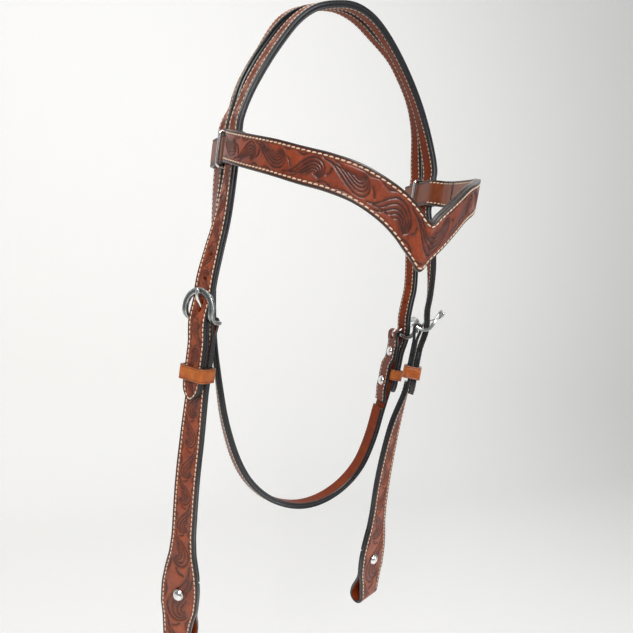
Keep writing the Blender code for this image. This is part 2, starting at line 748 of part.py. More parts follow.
def inner_end(arm, side, start):
    """The returned end: from the straps forward until it lies against the outer layer."""
    normals = np.array(plan_normals(arm)) * -side
    travelled = lengths_along(arm[:, :2])
    close = browband_layer + gap
    begin = float(np.linalg.norm(arm[0][:2] - start[:2]))
    points = []
    for d in np.linspace(0.0, inner_run, 7)[1:]:
        p = np.array([np.interp(d, travelled, arm[:, k]) for k in range(3)])
        n = np.array([np.interp(d, travelled, normals[:, k]) for k in range(3)])
        points.append(p - unit(n) * (close + (begin - close) * (1.0 - ease(d / inner_run_join))))
    return points


def brow_lining_rows(middle):
    """Edges of the lining between the two returned ends, close behind the outer layer."""
    travelled = lengths_along(middle[:, :2])
    along = np.gradient(middle, axis=0)
    rows = []
    for p, half, step, d in zip(middle, brow_halves(middle), along, travelled):
        if inner_run + gap * 2.0 < d < travelled[-1] - inner_run - gap * 2.0:
            inside = p - unit(np.cross(step, half)) * (browband_layer + gap)
            rows.append((inside - half, inside + half))
    return rows


def build_browband(left, right, outer_leather, lining_leather, parts):
    """Outer layer with a loop turned back at each end, lining between the ends."""
    left_arm, right_arm = brow_plan(left, right)
    ends = []
    for f, arm, side in ((left, left_arm, -1.0), (right, right_arm[::-1], 1.0)):
        loop = brow_loop(f)
        ends.append(loop + inner_end(arm, side, loop[-1]))
    middle = np.vstack([left_arm, right_arm])
    path = np.array(ends[0][::-1] + list(middle) + ends[1])
    pivot = bpy.data.objects.new("browband_slide", None)
    parts.objects.link(pivot)
    outer = [(p - half, p + half) for p, half in zip(path, brow_halves(path))]
    for name, rows, leather in (("browband_outer", outer, outer_leather),
                                ("browband_lining", brow_lining_rows(middle), lining_leather)):
        solidify(add_object(name, surface_mesh(name, rows), leather, parts), browband_layer).parent = pivot


def build_ring(name, f, made_of, parts):
    """Rectangular wire ring round the browband's loop, between the two crown straps."""
    half_n = strap / 2.0 + browband_layer + loop_clearance + ring_clearance + wire_radius
    half_z = browband_height / 2.0 + ring_clearance + wire_radius
    points = []
    for begin, n, z in ((0, 1, 1), (1, -1, 1), (2, -1, -1), (3, 1, -1)):
        for share in (0.0, 0.5, 1.0):
            angle = (begin + share) * math.pi / 2.0
            points.append((n * (half_n - ring_corner) + ring_corner * math.cos(angle),
                           z * (half_z - ring_corner) + ring_corner * math.sin(angle)))
    curve = bpy.data.curves.new(name, "CURVE")
    curve.dimensions = "3D"
    curve.bevel_depth = wire_radius
    curve.bevel_resolution = 1
    spline = curve.splines.new("POLY")
    spline.points.add(len(points) - 1)
    spline.use_cyclic_u = True
    for target, (n, z) in zip(spline.points, points):
        target.co = (*(f.outward * n)[:2], z, 1.0)
    piece = bpy.data.objects.new(name, curve)
    piece.location = f.at(billet_centre + crown_slot / 2.0, strap / 2.0)
    piece.location[2] = browband_z
    curve.materials.append(made_of)
    parts.objects.link(piece)


# Hardware

def mesh_from_curve(piece, collection):
    """Turn a tube into a welded mesh so that a Boolean can use it."""
    bpy.context.view_layer.update()
    evaluated = piece.evaluated_get(bpy.context.evaluated_depsgraph_get())
    mesh = bpy.data.meshes.new_from_object(evaluated)
    build = bmesh.new()
    build.from_mesh(mesh)
    bmesh.ops.remove_doubles(build, verts=build.verts, dist=weld_distance)
    build.to_mesh(mesh)
    build.free()
    bpy.data.objects.remove(piece)
    return place_cutter(mesh.name + "_bar", mesh, Matrix(), collection)


def tube(name, points, radius, made_of, collection, resolution):
    curve = bpy.data.curves.new(name, "CURVE")
    curve.dimensions = "3D"
    curve.bevel_depth = radius
    curve.bevel_resolution = resolution
    curve.use_fill_caps = True
    spline = curve.splines.new("POLY")
    spline.points.add(len(points) - 1)
    for target, point in zip(spline.points, points):
        target.co = (*point, 1.0)
    piece = bpy.data.objects.new(name, curve)
    curve.materials.append(made_of)
    collection.objects.link(piece)
    return piece


def buckle_sizes(strap_width):
    """Half width and reach of a buckle's middle line, and how far its arch stands off its bar."""
    half = strap_width / 2.0 + buckle_side_clearance + buckle_band / 2.0
    arch = gap + strap + arch_clearance + buckle_thickness / 2.0 - bar_n
    return half, buckle_straight + half, arch


def buckle_side(run, arch):
    """A buckle seen from the side, as height up the strap and distance out from the bar."""
    leg = arch - buckle_bend
    bend = buckle_bend * math.pi / 2.0
    if run < leg:
        return 0.0, run
    if run < leg + bend:
        angle = (run - leg) / buckle_bend
        return buckle_bend * (1.0 - math.cos(angle)), leg + buckle_bend * math.sin(angle)
    return buckle_bend + run - leg - bend, arch


def build_buckle(name, matrix, strap_width, metal, parts, cutters):
    """Horseshoe frame on two bent legs and its heel bar as one body, origin on the bar."""
    half, _, arch = buckle_sizes(strap_width)
    heel_half = strap_width / 2.0 + gap + buckle_heel_band / 2.0
    leg = arch - buckle_bend
    bent = leg + buckle_bend * math.pi / 2.0
    centre = bent + buckle_straight - buckle_bend
    runs = [-buckle_heel, 0.0, leg] + [leg + buckle_bend * a for a in np.linspace(0.0, math.pi / 2.0, 5)[1:]]
    flanks = []
    for run in runs:
        open_share = ease(run / bent)
        middle = heel_half + (half - heel_half) * open_share
        side = (buckle_heel_band + (buckle_band - buckle_heel_band) * open_share) / 2.0
        flanks.append([(middle + side, run), (middle - side, run)])
    arc = [[((half + side) * math.cos(a), centre + (half + side) * math.sin(a))
            for side in (buckle_band / 2.0, -buckle_band / 2.0)] for a in np.linspace(0.0, math.pi, 13)]
    mirrored = [[(-x, run) for x, run in row] for row in flanks[::-1]]
    rows = [[np.array((x, *buckle_side(run, arch))) for x, run in row] for row in flanks + arc + mirrored]
    frame = solidify(add_object(name, surface_mesh(name, rows), metal, parts), buckle_thickness)
    ends = [(-heel_half, 0.0, 0.0), (heel_half, 0.0, 0.0)]
    bar = mesh_from_curve(tube(name, ends, bar_radius, metal, cutters, 2), cutters)
    join = frame.modifiers.new("bar", "BOOLEAN")
    join.operation = "UNION"
    join.object = bar
    join.solver = "EXACT"
    frame.matrix_world = bar.matrix_world = matrix


def tongue_points(strap_width):
    """Middle line of a tongue, up the strap and out: round the bar, through the hole, to the arch."""
    _, reach, arch = buckle_sizes(strap_width)
    ring = bar_radius + gap + tongue_radius
    turn = [(ring * math.cos(a), ring * math.sin(a)) for a in np.radians(np.linspace(-215.0, 35.0, 9))]
    far_side = strap + gap - bar_n
    rest = arch + buckle_thickness / 2.0 + tongue_radius + gap
    hole = [(reach * a, far_side * b) for a, b in TONGUE_HOLE_SHARES]
    tip = [(reach * a, rest * b) for a, b in TONGUE_REST_SHARES] + [(reach + tongue_past_arch, rest)]
    return turn, hole, tip


def build_tongue(name, matrix, strap_width, metal, parts):
    turn, hole, tip = tongue_points(strap_width)
    climb = smooth_rows([(0.0, *point) for point in turn[-1:] + hole + tip], tongue_step)
    points = [(0.0, *point) for point in turn] + [tuple(p) for p in climb[1:]]
    tube(name, points, tongue_radius, metal, parts, 1).matrix_world = matrix


def billet_hole(name, matrix, strap_width, cutters):
    """The hole that the tongue passes, long enough for its swing."""
    _, hole, _ = tongue_points(strap_width)
    low, high = np.array(hole[0]), np.array(hole[-1])
    slope = math.atan2(*(high - low)[::-1])
    down = np.array((-math.sin(slope), math.cos(slope)))
    centre = (low + high) / 2.0 + down * (hole_play / 2.0 - hole_play_up)
    long_side = (tongue_radius + gap) * 2.0 + hole_play
    return box_cutter(name, (hole_width, long_side, strap * 4.0), matrix, (0.0, *centre),
                      slope - math.pi / 2.0, cutters)


def build_keeper(name, frame, strap_width, under, height, leather, parts):
    """Leather loop round a strap and its billet, cut as a flat ring and stood on edge."""
    half_w = strap_width / 2.0 + keeper_clearance
    low = -under - keeper_clearance
    high = gap + strap + keeper_clearance
    curve = bpy.data.curves.new(name, "CURVE")
    curve.dimensions = "2D"
    curve.fill_mode = "BOTH"
    curve.extrude = height / 2.0
    for grow in (0.0, keeper_wall):
        add_round_rectangle(curve, half_w + grow, (high - low) / 2.0 + grow, keeper_corner + grow)
    piece = bpy.data.objects.new(name, curve)
    curve.materials.append(leather)
    parts.objects.link(piece)
    stand = Matrix.Rotation(math.pi / 2.0, 4, "X")
    piece.matrix_world = local_matrix(frame) @ Matrix.Translation((0.0, 0.0, (low + high) / 2.0)) @ stand


def add_round_rectangle(curve, half_w, half_h, corner):
    points = []
    for cx, cy, begin in ((1, 1, 0.0), (-1, 1, 90.0), (-1, -1, 180.0), (1, -1, 270.0)):
        for share in (0.0, 0.5, 1.0):
            angle = math.radians(begin + 90.0 * share)
            points.append((cx * (half_w - corner) + corner * math.cos(angle),
                           cy * (half_h - corner) + corner * math.sin(angle)))
    spline = curve.splines.new("POLY")
    spline.points.add(len(points) - 1)
    spline.use_cyclic_u = True
    for target, (x, y) in zip(spline.points, points):
        target.co = (x, y, 0.0, 1.0)


def turned(name, profile, matrix, metal, parts):
    """Profile of radius and height, top to bottom, turned round the screw's axis."""
    build = bmesh.new()
    points = [build.verts.new((r, 0.0, z)) for r, z in profile]
    for a, b in zip(points, points[1:]):
        build.edges.new((a, b))
    mesh = bpy.data.meshes.new(name)
    build.to_mesh(mesh)
    build.free()
    piece = add_object(name, mesh, metal, parts)
    screw = piece.modifiers.new("turn", "SCREW")
    screw.steps = screw_sides
    screw.render_steps = screw_sides
    screw.use_merge_vertices = True
    screw.merge_threshold = 0.01 * MM
    piece.matrix_world = matrix
    return piece


def build_screw(name, frame, depth, metal, parts, sunk=False):
    """Two-part screw through leather of a depth behind the line: domed head and post.

    A sunk one has its dome on the inside and its post's head let into the outer face.
    """
    matrix = local_matrix(frame)
    if sunk:
        matrix = matrix @ Matrix.Translation((0.0, 0.0, -depth - gap)) @ Matrix.Rotation(math.pi, 4, "X")
        through = depth + gap - post_head_height
    else:
        matrix = matrix @ Matrix.Translation((0.0, 0.0, gap))
        through = depth + gap * 2.0
    shank_end = -through * shank_length_share
    floor = -through - post_floor
    dome = [(0.0, dome_height)]
    dome += [(dome_radius * math.sin(a), dome_height * math.cos(a)) for a in np.radians((25, 48, 68, 84))]
    dome += [(dome_radius, 0.0), (shank_radius, 0.0), (shank_radius, shank_end), (0.0, shank_end)]
    turned(name + "_dome", dome, matrix, metal, parts)
    post = [(0.0, floor), (barrel_bore, floor), (barrel_bore, -gap * 2.0), (barrel_radius, -gap * 2.0),
            (barrel_radius, -through), (post_head_radius, -through),
            (post_head_radius, -through - post_edge_height), (post_face_radius, -through - post_head_height),
            (0.0, -through - post_head_height)]
    turned(name + "_post", post, matrix, metal, parts)


def settle(parts, cutters, rest):
    """Hang everything from one empty and put the resting point of the crown at the origin."""
    stand = bpy.data.objects.new("headstall_origin", None)
    parts.objects.link(stand)
    bpy.context.view_layer.update()
    for piece in list(parts.objects) + list(cutters.objects):
        if piece is not stand and piece.parent is None:
            placed = piece.matrix_world.copy()
            piece.parent = stand
            piece.matrix_world = placed
    stand.location = -Vector(rest)


def main():
    for piece in list(bpy.data.objects):
        bpy.data.objects.remove(piece)
    parts = bpy.data.collections.new("western_headstall")
    cutters = bpy.data.collections.new("cutters")
    for collection in (parts, cutters):
        bpy.context.scene.collection.children.link(collection)
    tooled = material("tooled_leather", (0.235, 0.055, 0.016), 0.42, 0.0)
    dark = material("crown_lining_leather", (0.15, 0.032, 0.012), 0.5, 0.0)
    amber = material("browband_lining_leather", (0.26, 0.085, 0.02), 0.38, 0.0)
    tan = material("keeper_leather", (0.42, 0.16, 0.045), 0.4, 0.0)
    pewter = material("antique_silver", (0.46, 0.45, 0.43), 0.3, 1.0)
    nickel = material("nickel_wire", (0.6, 0.59, 0.57), 0.22, 1.0)

    left = line_frames(side_rows(LEFT_TOP, LEFT_STRAIGHT, LEFT_BOTTOM), -1.0)
    right = line_frames(side_rows(RIGHT_TOP, RIGHT_STRAIGHT, RIGHT_BOTTOM), 1.0)
    throat_right = line_frames(throat_side_line(), 1.0)
    crown = crown_frames(left, right)
    rest = max(crown, key=lambda f: f.point[2]).at(crown_width / 2.0, -strap)
    loop_left, loop_right = frame_at(left, 0.0), frame_at(right, 0.0)
    crown_layers = build_crown(crown, left, right, throat_right, tooled, dark, parts)
    throat = throat_frames(loop_left.at(throat_offset, strap), throat_right)
    build_throatlatch(throat, throat_right, tooled, dark, parts, cutters)
    build_cheek("left", left, left_bar_z, tooled, dark, parts, cutters)
    build_cheek("right", right, right_bar_z, tooled, dark, parts, cutters)
    build_browband(loop_left, loop_right, tooled, amber, parts)
    build_ring("browband_ring_left", loop_left, nickel, parts)
    build_ring("browband_ring_right", loop_right, nickel, parts)

    fittings = (("left", left, left_bar_z, cheek_width, 0.0),
                ("right", right, right_bar_z, cheek_width, right_swing),
                ("throat", throat_right, throat_bar_z, billet_width, throat_swing))
    for name, line, bar_z, width, swing in fittings:
        bar = local_matrix(frame_at(line, bar_z)) @ Matrix.Translation((0.0, 0.0, bar_n))
        bar = bar @ Matrix.Rotation(math.radians(swing), 4, "X")
        build_buckle(f"buckle_{name}_frame", bar, width, pewter, parts, cutters)
        build_tongue(f"buckle_{name}_tongue", bar, width, pewter, parts)
        holes = [billet_hole(f"billet_hole_{name}", bar, width, cutters)]
        for number in range(1, spare_holes + 1):
            place = frame_at(line, bar_z + hole_spacing * (number + spare_hole_share))
            holes.append(round_cutter(f"spare_hole_{name}_{number}", hole_width / 2.0, strap * 5.0,
                                      local_matrix(place), (0.0, 0.0, strap / 2.0), cutters))
        for leather in crown_layers:
            for hole in holes:
                cut(leather, hole)

    for name, line, bar_z in (("left", left, left_bar_z), ("right", right, right_bar_z)):
        keeper_place = frame_at(line, bar_z - keeper_below_bar)
        build_keeper(f"keeper_{name}", keeper_place, cheek_width, strap, keeper_height, tan, parts)
        build_screw(f"bit_screw_{name}", frame_at(line, bar_z - dome_below_bar), strap, pewter, parts)
    below_bar = (throat_screw_upper, throat_keeper_below_bar, throat_screw_lower)
    upper, middle, lower = (frame_at(throat_right, throat_bar_z - below) for below in below_bar)
    build_screw("throat_screw_1", upper, strap, pewter, parts, sunk=True)
    build_keeper("keeper_throat", middle, billet_width, layer, throat_keeper_height, tan, parts)
    build_screw("throat_screw_2", lower, layer * 2.0 + throat_under_keeper, pewter, parts, sunk=True)
    settle(parts, cutters, rest)


main()
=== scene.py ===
"""Looks of the western headstall: tooled and stitched leather, inked edges, metal, light and camera.

Lengths are in metres. The straps' routes are the ones that the solids follow, in the part's own lines.
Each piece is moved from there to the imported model's place.
"""

import json
import math

import bmesh
import bpy
import numpy as np
from mathutils import Matrix, Vector

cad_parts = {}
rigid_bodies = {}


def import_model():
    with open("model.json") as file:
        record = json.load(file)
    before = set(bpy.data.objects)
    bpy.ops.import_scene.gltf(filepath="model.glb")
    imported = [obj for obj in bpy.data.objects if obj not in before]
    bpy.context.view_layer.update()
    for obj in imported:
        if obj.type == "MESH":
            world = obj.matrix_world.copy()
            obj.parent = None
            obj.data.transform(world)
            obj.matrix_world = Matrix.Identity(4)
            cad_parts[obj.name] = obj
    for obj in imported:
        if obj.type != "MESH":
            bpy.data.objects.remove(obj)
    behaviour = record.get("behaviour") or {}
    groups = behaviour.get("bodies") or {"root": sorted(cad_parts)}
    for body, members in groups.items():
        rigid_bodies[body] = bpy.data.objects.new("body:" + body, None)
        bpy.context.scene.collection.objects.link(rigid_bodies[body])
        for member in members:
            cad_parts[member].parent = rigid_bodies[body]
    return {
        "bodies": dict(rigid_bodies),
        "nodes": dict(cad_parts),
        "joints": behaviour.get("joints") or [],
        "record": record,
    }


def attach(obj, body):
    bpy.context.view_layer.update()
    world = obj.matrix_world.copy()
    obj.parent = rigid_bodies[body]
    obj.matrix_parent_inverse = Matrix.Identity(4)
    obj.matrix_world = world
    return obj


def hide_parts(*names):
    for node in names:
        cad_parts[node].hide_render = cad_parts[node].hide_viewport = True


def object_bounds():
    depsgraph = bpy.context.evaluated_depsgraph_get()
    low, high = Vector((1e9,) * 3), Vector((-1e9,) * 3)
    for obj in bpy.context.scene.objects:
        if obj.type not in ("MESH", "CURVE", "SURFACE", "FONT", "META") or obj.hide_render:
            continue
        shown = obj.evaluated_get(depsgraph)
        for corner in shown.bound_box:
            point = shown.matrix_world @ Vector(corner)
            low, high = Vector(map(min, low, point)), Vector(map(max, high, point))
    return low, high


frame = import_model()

cad_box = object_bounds()
MM = 0.001

# Leather
layer = 2.2 * MM
gap = 0.3 * MM
billet_width = 17.0 * MM
cheek_width = 19.0 * MM
leaf_width = 32.0 * MM
station_step = 8.0 * MM
side_step = 5.0 * MM
throat_step = 5.5 * MM
fine_step = 2.75 * MM
leaf_step = 4.5 * MM
spline_samples = 12

# Crown
crown_slot = 4.2 * MM
crown_joined_half = 22.0 * MM
rear_step = 3.0 * MM
rear_step_run = 33.0 * MM
rear_step_low_share = 0.14
rear_step_high_share = 0.44
arch_height = 118.0 * MM
arch_half_width = 86.0 * MM
front_edge_y = -19.0 * MM
side_lean = 7.0
left_shoulder_lean = 12.0
right_shoulder_lean = 22.0
apex_lean = 19.0
shoulder_share = 0.5
apex_share = 0.75
rear_turn = 13.0
rear_turn_start = 19.0 * MM
rear_turn_full = 34.0 * MM
rear_turn_fade_share = 0.6
rear_turn_end_share = 0.9

# Sides: heights are counted from the middle of the straps' upright stretch in the browband's loops
loop_straight_top = 17.0 * MM
loop_straight_bottom = -15.0 * MM
left_bar_z = -122.0 * MM
right_bar_z = -113.0 * MM
throat_bar_z = -123.0 * MM
billet_past_bar = 56.0 * MM
billet_tip_share = 0.7
billet_nose_share = 0.24
keeper_below_bar = 37.5 * MM
throat_keeper_below_bar = 36.3 * MM
dome_below_bar = 205.0 * MM
leaf_below_dome = 32.5 * MM
leaf_above_dome = 46.0 * MM

# Folds
bar_radius = 1.5 * MM
fold_length = 42.0 * MM
fold_taper = 11.0 * MM
bit_loop_radius = 4.5 * MM
bit_fold_above_dome = 11.0 * MM
bit_fold_settled = 25.0 * MM
slot_half_width = 2.3 * MM
slot_low = -4.7 * MM
slot_high = 9.3 * MM
bar_relief = 2.1 * MM
bar_relief_length = 19.0 * MM

# Buckles
buckle_side_clearance = 0.9 * MM
buckle_band = 4.2 * MM
buckle_thickness = 2.4 * MM
buckle_straight = 8.5 * MM
buckle_bend = 7.0 * MM
buckle_heel = 1.8 * MM
buckle_heel_band = 3.0 * MM
arch_clearance = 0.6 * MM
right_swing = 20.0
throat_swing = 20.0
tongue_radius = 1.25 * MM
tongue_past_arch = 1.7 * MM
hole_width = 3.4 * MM
hole_spacing = 17.0 * MM
hole_play = 4.2 * MM
hole_play_up = 1.4 * MM
spare_holes = 2
spare_hole_share = 0.7

# Keepers
keeper_height = 10.5 * MM
throat_keeper_height = 9.8 * MM
keeper_wall = 2.0 * MM
keeper_clearance = 0.5 * MM
keeper_corner = 1.2 * MM

# Screws
dome_radius = 4.3 * MM
dome_height = 2.6 * MM
post_head_height = 1.2 * MM
post_edge_height = 0.7 * MM
post_floor = 0.5 * MM
post_head_radius = 4.1 * MM
post_face_radius = 3.2 * MM
barrel_radius = 2.2 * MM
barrel_bore = 1.5 * MM
shank_radius = 1.1 * MM
shank_length_share = 0.6

# Throatlatch
throat_y = 11.5 * MM
throat_screw_upper = 16.7 * MM
throat_screw_lower = 44.0 * MM
throat_fold_length = 63.0 * MM
throat_room_start = 21.5 * MM
throat_room_full = 29.8 * MM
throat_room_end = 49.5 * MM
throat_under_keeper = keeper_wall + 2.0 * keeper_clearance
# Share of its length, and degrees that its outer face is tilted there.
THROAT_TILT_SHARES = ((0.0, 7.0), (0.04, 7.0), (0.115, -5.0), (0.19, -10.0), (0.33, -9.0), (0.58, 17.0),
                      (0.72, 12.0), (0.84, 7.0), (1.0, 7.0))

# Browband
browband_height = 20.2 * MM
browband_z = -1.0 * MM
browband_left_half = 88.5 * MM
browband_right_half = 87.0 * MM
browband_reach = 135.0 * MM
browband_drop = 56.5 * MM
loop_clearance = 0.6 * MM
loop_step = 5.2 * MM
inner_run = 30.0 * MM
inner_run_join = 16.0 * MM
wire_radius = 1.3 * MM
ring_clearance = 0.5 * MM
ring_corner = 2.0 * MM

# Across and through the straps: n counts out of a strap's face from its inner side
half_layer = layer / 2.0
strap = 2.0 * layer + gap
inner_layer_n = half_layer
outer_layer_n = layer + gap + half_layer
bar_n = -(layer + gap / 2.0)
crown_width = 2.0 * billet_width + crown_slot
billet_centre = billet_width / 2.0
throat_offset = billet_width + crown_slot
UP, REAR, SIDEWAYS = np.eye(3)[::-1]

# Routes, in millimetres and degrees. A side line starts with its upright stretch in the browband's loop
# (sideways and front-to-back place, and the angle that the strap's outer face is turned from the front
# towards its own side). Rows of height and the same three follow: upper, straight and lower ones.
LEFT_LINE = (
    (-78.1, -10.2, 83.0),
    ((-48.0, -80.3, -11.2, 73.0), (-74.0, -84.4, -12.2, 63.0)),
    ((-94.0, -87.3, -13.1, 56.0), (-176.0, -88.4, -14.2, 56.0)),
    ((-208.0, -88.0, -14.0, 47.0), (-243.0, -87.7, -14.3, 45.0), (-290.0, -85.6, -15.0, 45.0),
     (-330.0, -83.6, -15.5, 45.0), (-380.0, -82.0, -16.0, 45.0)),
)
RIGHT_LINE = (
    (83.6, -10.2, 83.0),
    ((-31.0, 88.4, -11.3, 77.5), (-47.0, 93.8, -12.8, 70.5), (-63.0, 96.8, -14.6, 62.5)),
    ((-84.0, 97.4, -16.9, 54.0), (-168.0, 89.8, -21.0, 51.0)),
    ((-200.0, 83.5, -21.0, 33.0), (-244.0, 80.0, -21.0, 24.0), (-290.0, 80.3, -21.0, 22.0),
     (-325.0, 81.0, -21.0, 22.0), (-380.0, 84.0, -21.0, 22.0)),
)
THROAT_LINE = (
    (86.2, 11.5, 83.0), ((-50.0, 93.1, 11.5, 83.0),), ((-78.0, 96.9, 11.5, 83.0), (-176.0, 91.0, 11.5, 83.0)), (),
)
# The crown's front edge between the loops: sideways share of the half width, height share.
ARCH_SHARES = (
    (-0.90, 0.30), (-0.80, 0.485), (-0.685, 0.655), (-0.565, 0.80), (-0.42, 0.905), (-0.24, 0.97),
    (-0.06, 1.0), (0.13, 0.972), (0.33, 0.875), (0.55, 0.716), (0.745, 0.534), (0.915, 0.322),
)
# The throatlatch's outer face: sideways place and height, from the left loop to the throat buckle.
THROAT_LEFT = (
    (-84.0, -50.0), (-81.5, -95.0), (-76.5, -135.0), (-68.5, -170.0), (-59.5, -204.0), (-46.5, -236.0),
    (-31.0, -258.5), (-10.0, -274.5), (14.0, -281.5), (37.0, -278.5), (58.5, -266.0), (74.5, -246.0),
    (83.0, -220.0), (87.0, -195.0),
)
# Browband seen from above, then how far its middle hangs down on each side.
BROW_PLAN_SHARES = (
    (1.0, 0.18), (0.985, 0.31), (0.925, 0.45), (0.835, 0.595), (0.715, 0.72), (0.565, 0.82),
    (0.40, 0.90), (0.205, 0.965), (0.0, 1.0),
)
BROW_LEFT_DROP_SHARES = (0.04, 0.12, 0.20, 0.28, 0.361, 0.425, 0.521, 0.71, 1.0)
BROW_RIGHT_DROP_SHARES = (0.01, 0.06, 0.11, 0.165, 0.23, 0.345, 0.472, 0.715, 1.0)
# Share of the half width away from the tip, and degrees that the browband's lower edge is tucked in there.
BROW_LEAN_SHARES = ((0.0, 11.0), (0.45, 4.5), (0.75, 0.0))
LEAF_SHARES = ((0.0, 0.0), (0.30, 0.20), (0.62, 0.72), (0.86, 0.98), (1.0, 1.0))
LEAF_END_SHARES = ((0.0, 1.0), (0.30, 0.93), (0.62, 0.55), (1.0, 0.30))
# A tongue's climb from its bar: share of the arch's reach, share of the height of the hole's far side.
TONGUE_HOLE_SHARES = ((0.27, 0.36), (0.42, 0.72), (0.57, 1.07))
TONGUE_REST_SHARES = ((0.74, 0.93), (0.90, 1.01))

# Looks: leather
sheet_step = 0.45 * MM
lining_step = 1.2 * MM
face_step = 0.42 * MM
lining_face_step = 1.0 * MM
edge_round = 0.8 * MM
back_round = 0.12 * MM
seam_fill = 0.13 * MM
slot_end = 2.1 * MM
cutter_sides = 28
FACE, EDGE, BACK = 0, 1, 2
# Materials of a layer's face, edge and back, its slot, and the step across its face.
TOOLED = (("tooled", "edge", "lining"), "tooled_leather", face_step)
LINED = (("lining", "edge", "lining"), "crown_lining_leather", lining_face_step)
SMOOTH = (("smooth", "edge", "lining"), "tooled_leather", lining_face_step / 2.0)
BROW = (("brow", "brow_edge", "amber"), "tooled_leather", face_step)
AMBER = (("amber", "brow_edge", "amber"), "browband_lining_leather", lining_face_step)

# Looks: edges of the leather and stitches
groove_width = 0.55 * MM
groove_depth = 0.28 * MM
groove_dark = 0.5
ink_width = 1.75 * MM
ink_fade = 0.6 * MM
ink_share = 0.95
stitch_inset = 2.2 * MM
stitch_pitch = 3.4 * MM
stitch_length = 2.75 * MM
stitch_radius = 0.46 * MM
stitch_slant = 0.12
stitch_scatter = 0.03
stitch_aim = 0.8 * MM
stitch_lift = 0.18
# A stitch from end to end: share of its length, share of its thickness, how far it dips.
STITCH_STATIONS = ((-0.5, 0.35, -0.9), (-0.44, 0.75, -0.45), (-0.25, 1.0, 0.0), (0.25, 1.0, 0.0),
                   (0.44, 0.75, -0.45), (0.5, 0.35, -0.9))
tip_clear = 3.0 * MM
seam_before_bar = 6.0 * MM
seam_after_bar = 14.0 * MM

# Looks: where the tooling starts, how deep it is and how it lies along the strap
tool_inset = 3.3 * MM
tool_depth = 0.62 * MM
tool_fade = 3.0 * MM
crease_depth = 0.3 * MM
border_width = 0.32 * MM
border_dark = 0.45
tool_from_fold = 4.0 * MM
tool_past_loop = 2.0 * MM
browband_plain = 13.0 * MM
untooled_share = 0.3
plain_past_end = 6.0 * MM
strap_tooling_share = 0.9
CROWN_PHASES = (0.4, 2.9)
CHEEK_PHASES = {"left": 1.3, "right": 4.4}
BROW_PHASE = 2.2
# The pattern's waver along and across the strap, and how often it comes.
ALONG_WAVER, ALONG_OFTEN = 0.16, 61.0
FINE_WAVER, FINE_OFTEN = 0.07, 147.0
ACROSS_WAVER, ACROSS_OFTEN = 0.05, 1.7

# Looks: the tooled pattern, in half widths of the tooled field
tool_period = 7.0
tool_cell = 0.025
field_end = 1.04
field_fade = 0.08
brow_cut_width = 0.07
strap_cut_width = 0.085
cut_reach = 0.8
cut_dark = 0.78
cut_dark_spread = 1.3
bevel_width = 0.30
bevel_depth = 0.7
bevel_curve = 1.5
ground_dark = 0.46
outline_soft = 0.12
fold_soft = 0.32
small_soft = 0.14
flow_step = 0.09
LOBE_OUTLINE = ((-0.15, 0.86), (0.45, 0.66), (1.0, 0.22), (1.6, -0.34), (2.3, -0.76), (3.0, -0.70),
                (3.42, -0.22), (3.36, 0.34), (3.02, 0.72))
LOBE_FOCUS = (2.55, 0.42)
lobe_squeeze = 1.25
BROW_LOBE_SHARES = (1.0, 0.79, 0.59, 0.40, 0.20)
STRAP_LOBE_SHARES = (1.0, 0.74, 0.48, 0.24)
SMALL_CUTS = (((0.55, 1.0), (1.05, 0.80), (1.50, 0.36)), ((3.02, 1.0), (3.45, 0.86), (3.86, 0.98)),
              ((1.05, -0.98), (1.50, -0.86), (1.95, -0.98)), ((3.62, 0.30), (3.86, 0.05), (3.95, -0.30)))

# Looks: keepers
crease_inset = 1.5 * MM
crease_width = 0.3 * MM
keeper_crease = 0.22 * MM
crease_dark = 0.6
keeper_round = 0.5 * MM

# Looks: metal
buckle_round = 0.5 * MM
buckle_channel = 0.16 * MM
channel_rim = 0.9 * MM
channel_slope = 0.35 * MM
# Painted shade: how far a buckle's channel is painted darker, so that its rims read as bright
channel_painted_shade = 0.85
bar_sunk = 0.3 * MM
dome_rim = 0.35 * MM
axis_radius = 0.02 * MM
metal_step = 0.35 * MM
tube_sides = 20
turned_steps = 48

# Camera and room
IMAGE_SIDE = 633
camera_place = (-158.2 * MM, -347.6 * MM, -79.5 * MM)
camera_yaw = 25.0
camera_pitch = -5.0
camera_roll = 7.7
focal_pixels = 477.0
principal_x = 315.5
sensor_width = 36.0
wall_behind = 1500.0 * MM
backdrop_lift = 0.26
floor_below = 560.0 * MM
room_bend = 400.0 * MM
lamp_target = (0.0, 0.0, -0.22)
world_strength = 0.29
world_seen = 0.78


# Routes, as the solids follow them

class Frame:
    """A place on a strap: point, direction across the strap and direction out of its face."""

    def __init__(self, *vectors):
        self.point, self.across, self.outward = (np.array(vector, float) for vector in vectors)

    def at(self, across, outward):
        return self.point + self.across * across + self.outward * outward

    def lifted(self, outward, facing=1.0):
        return Frame(self.at(0.0, outward), self.across, self.outward * facing)

    def edges(self, width, outward=0.0):
        return self.at(-width / 2.0, outward), self.at(width / 2.0, outward), self.outward


def unit(vector):
    return np.array(vector, float) / np.linalg.norm(vector)


def turned(start, toward, angle):
    """A direction turned by an angle from one towards another."""
    return start * math.cos(angle) + toward * math.sin(angle)


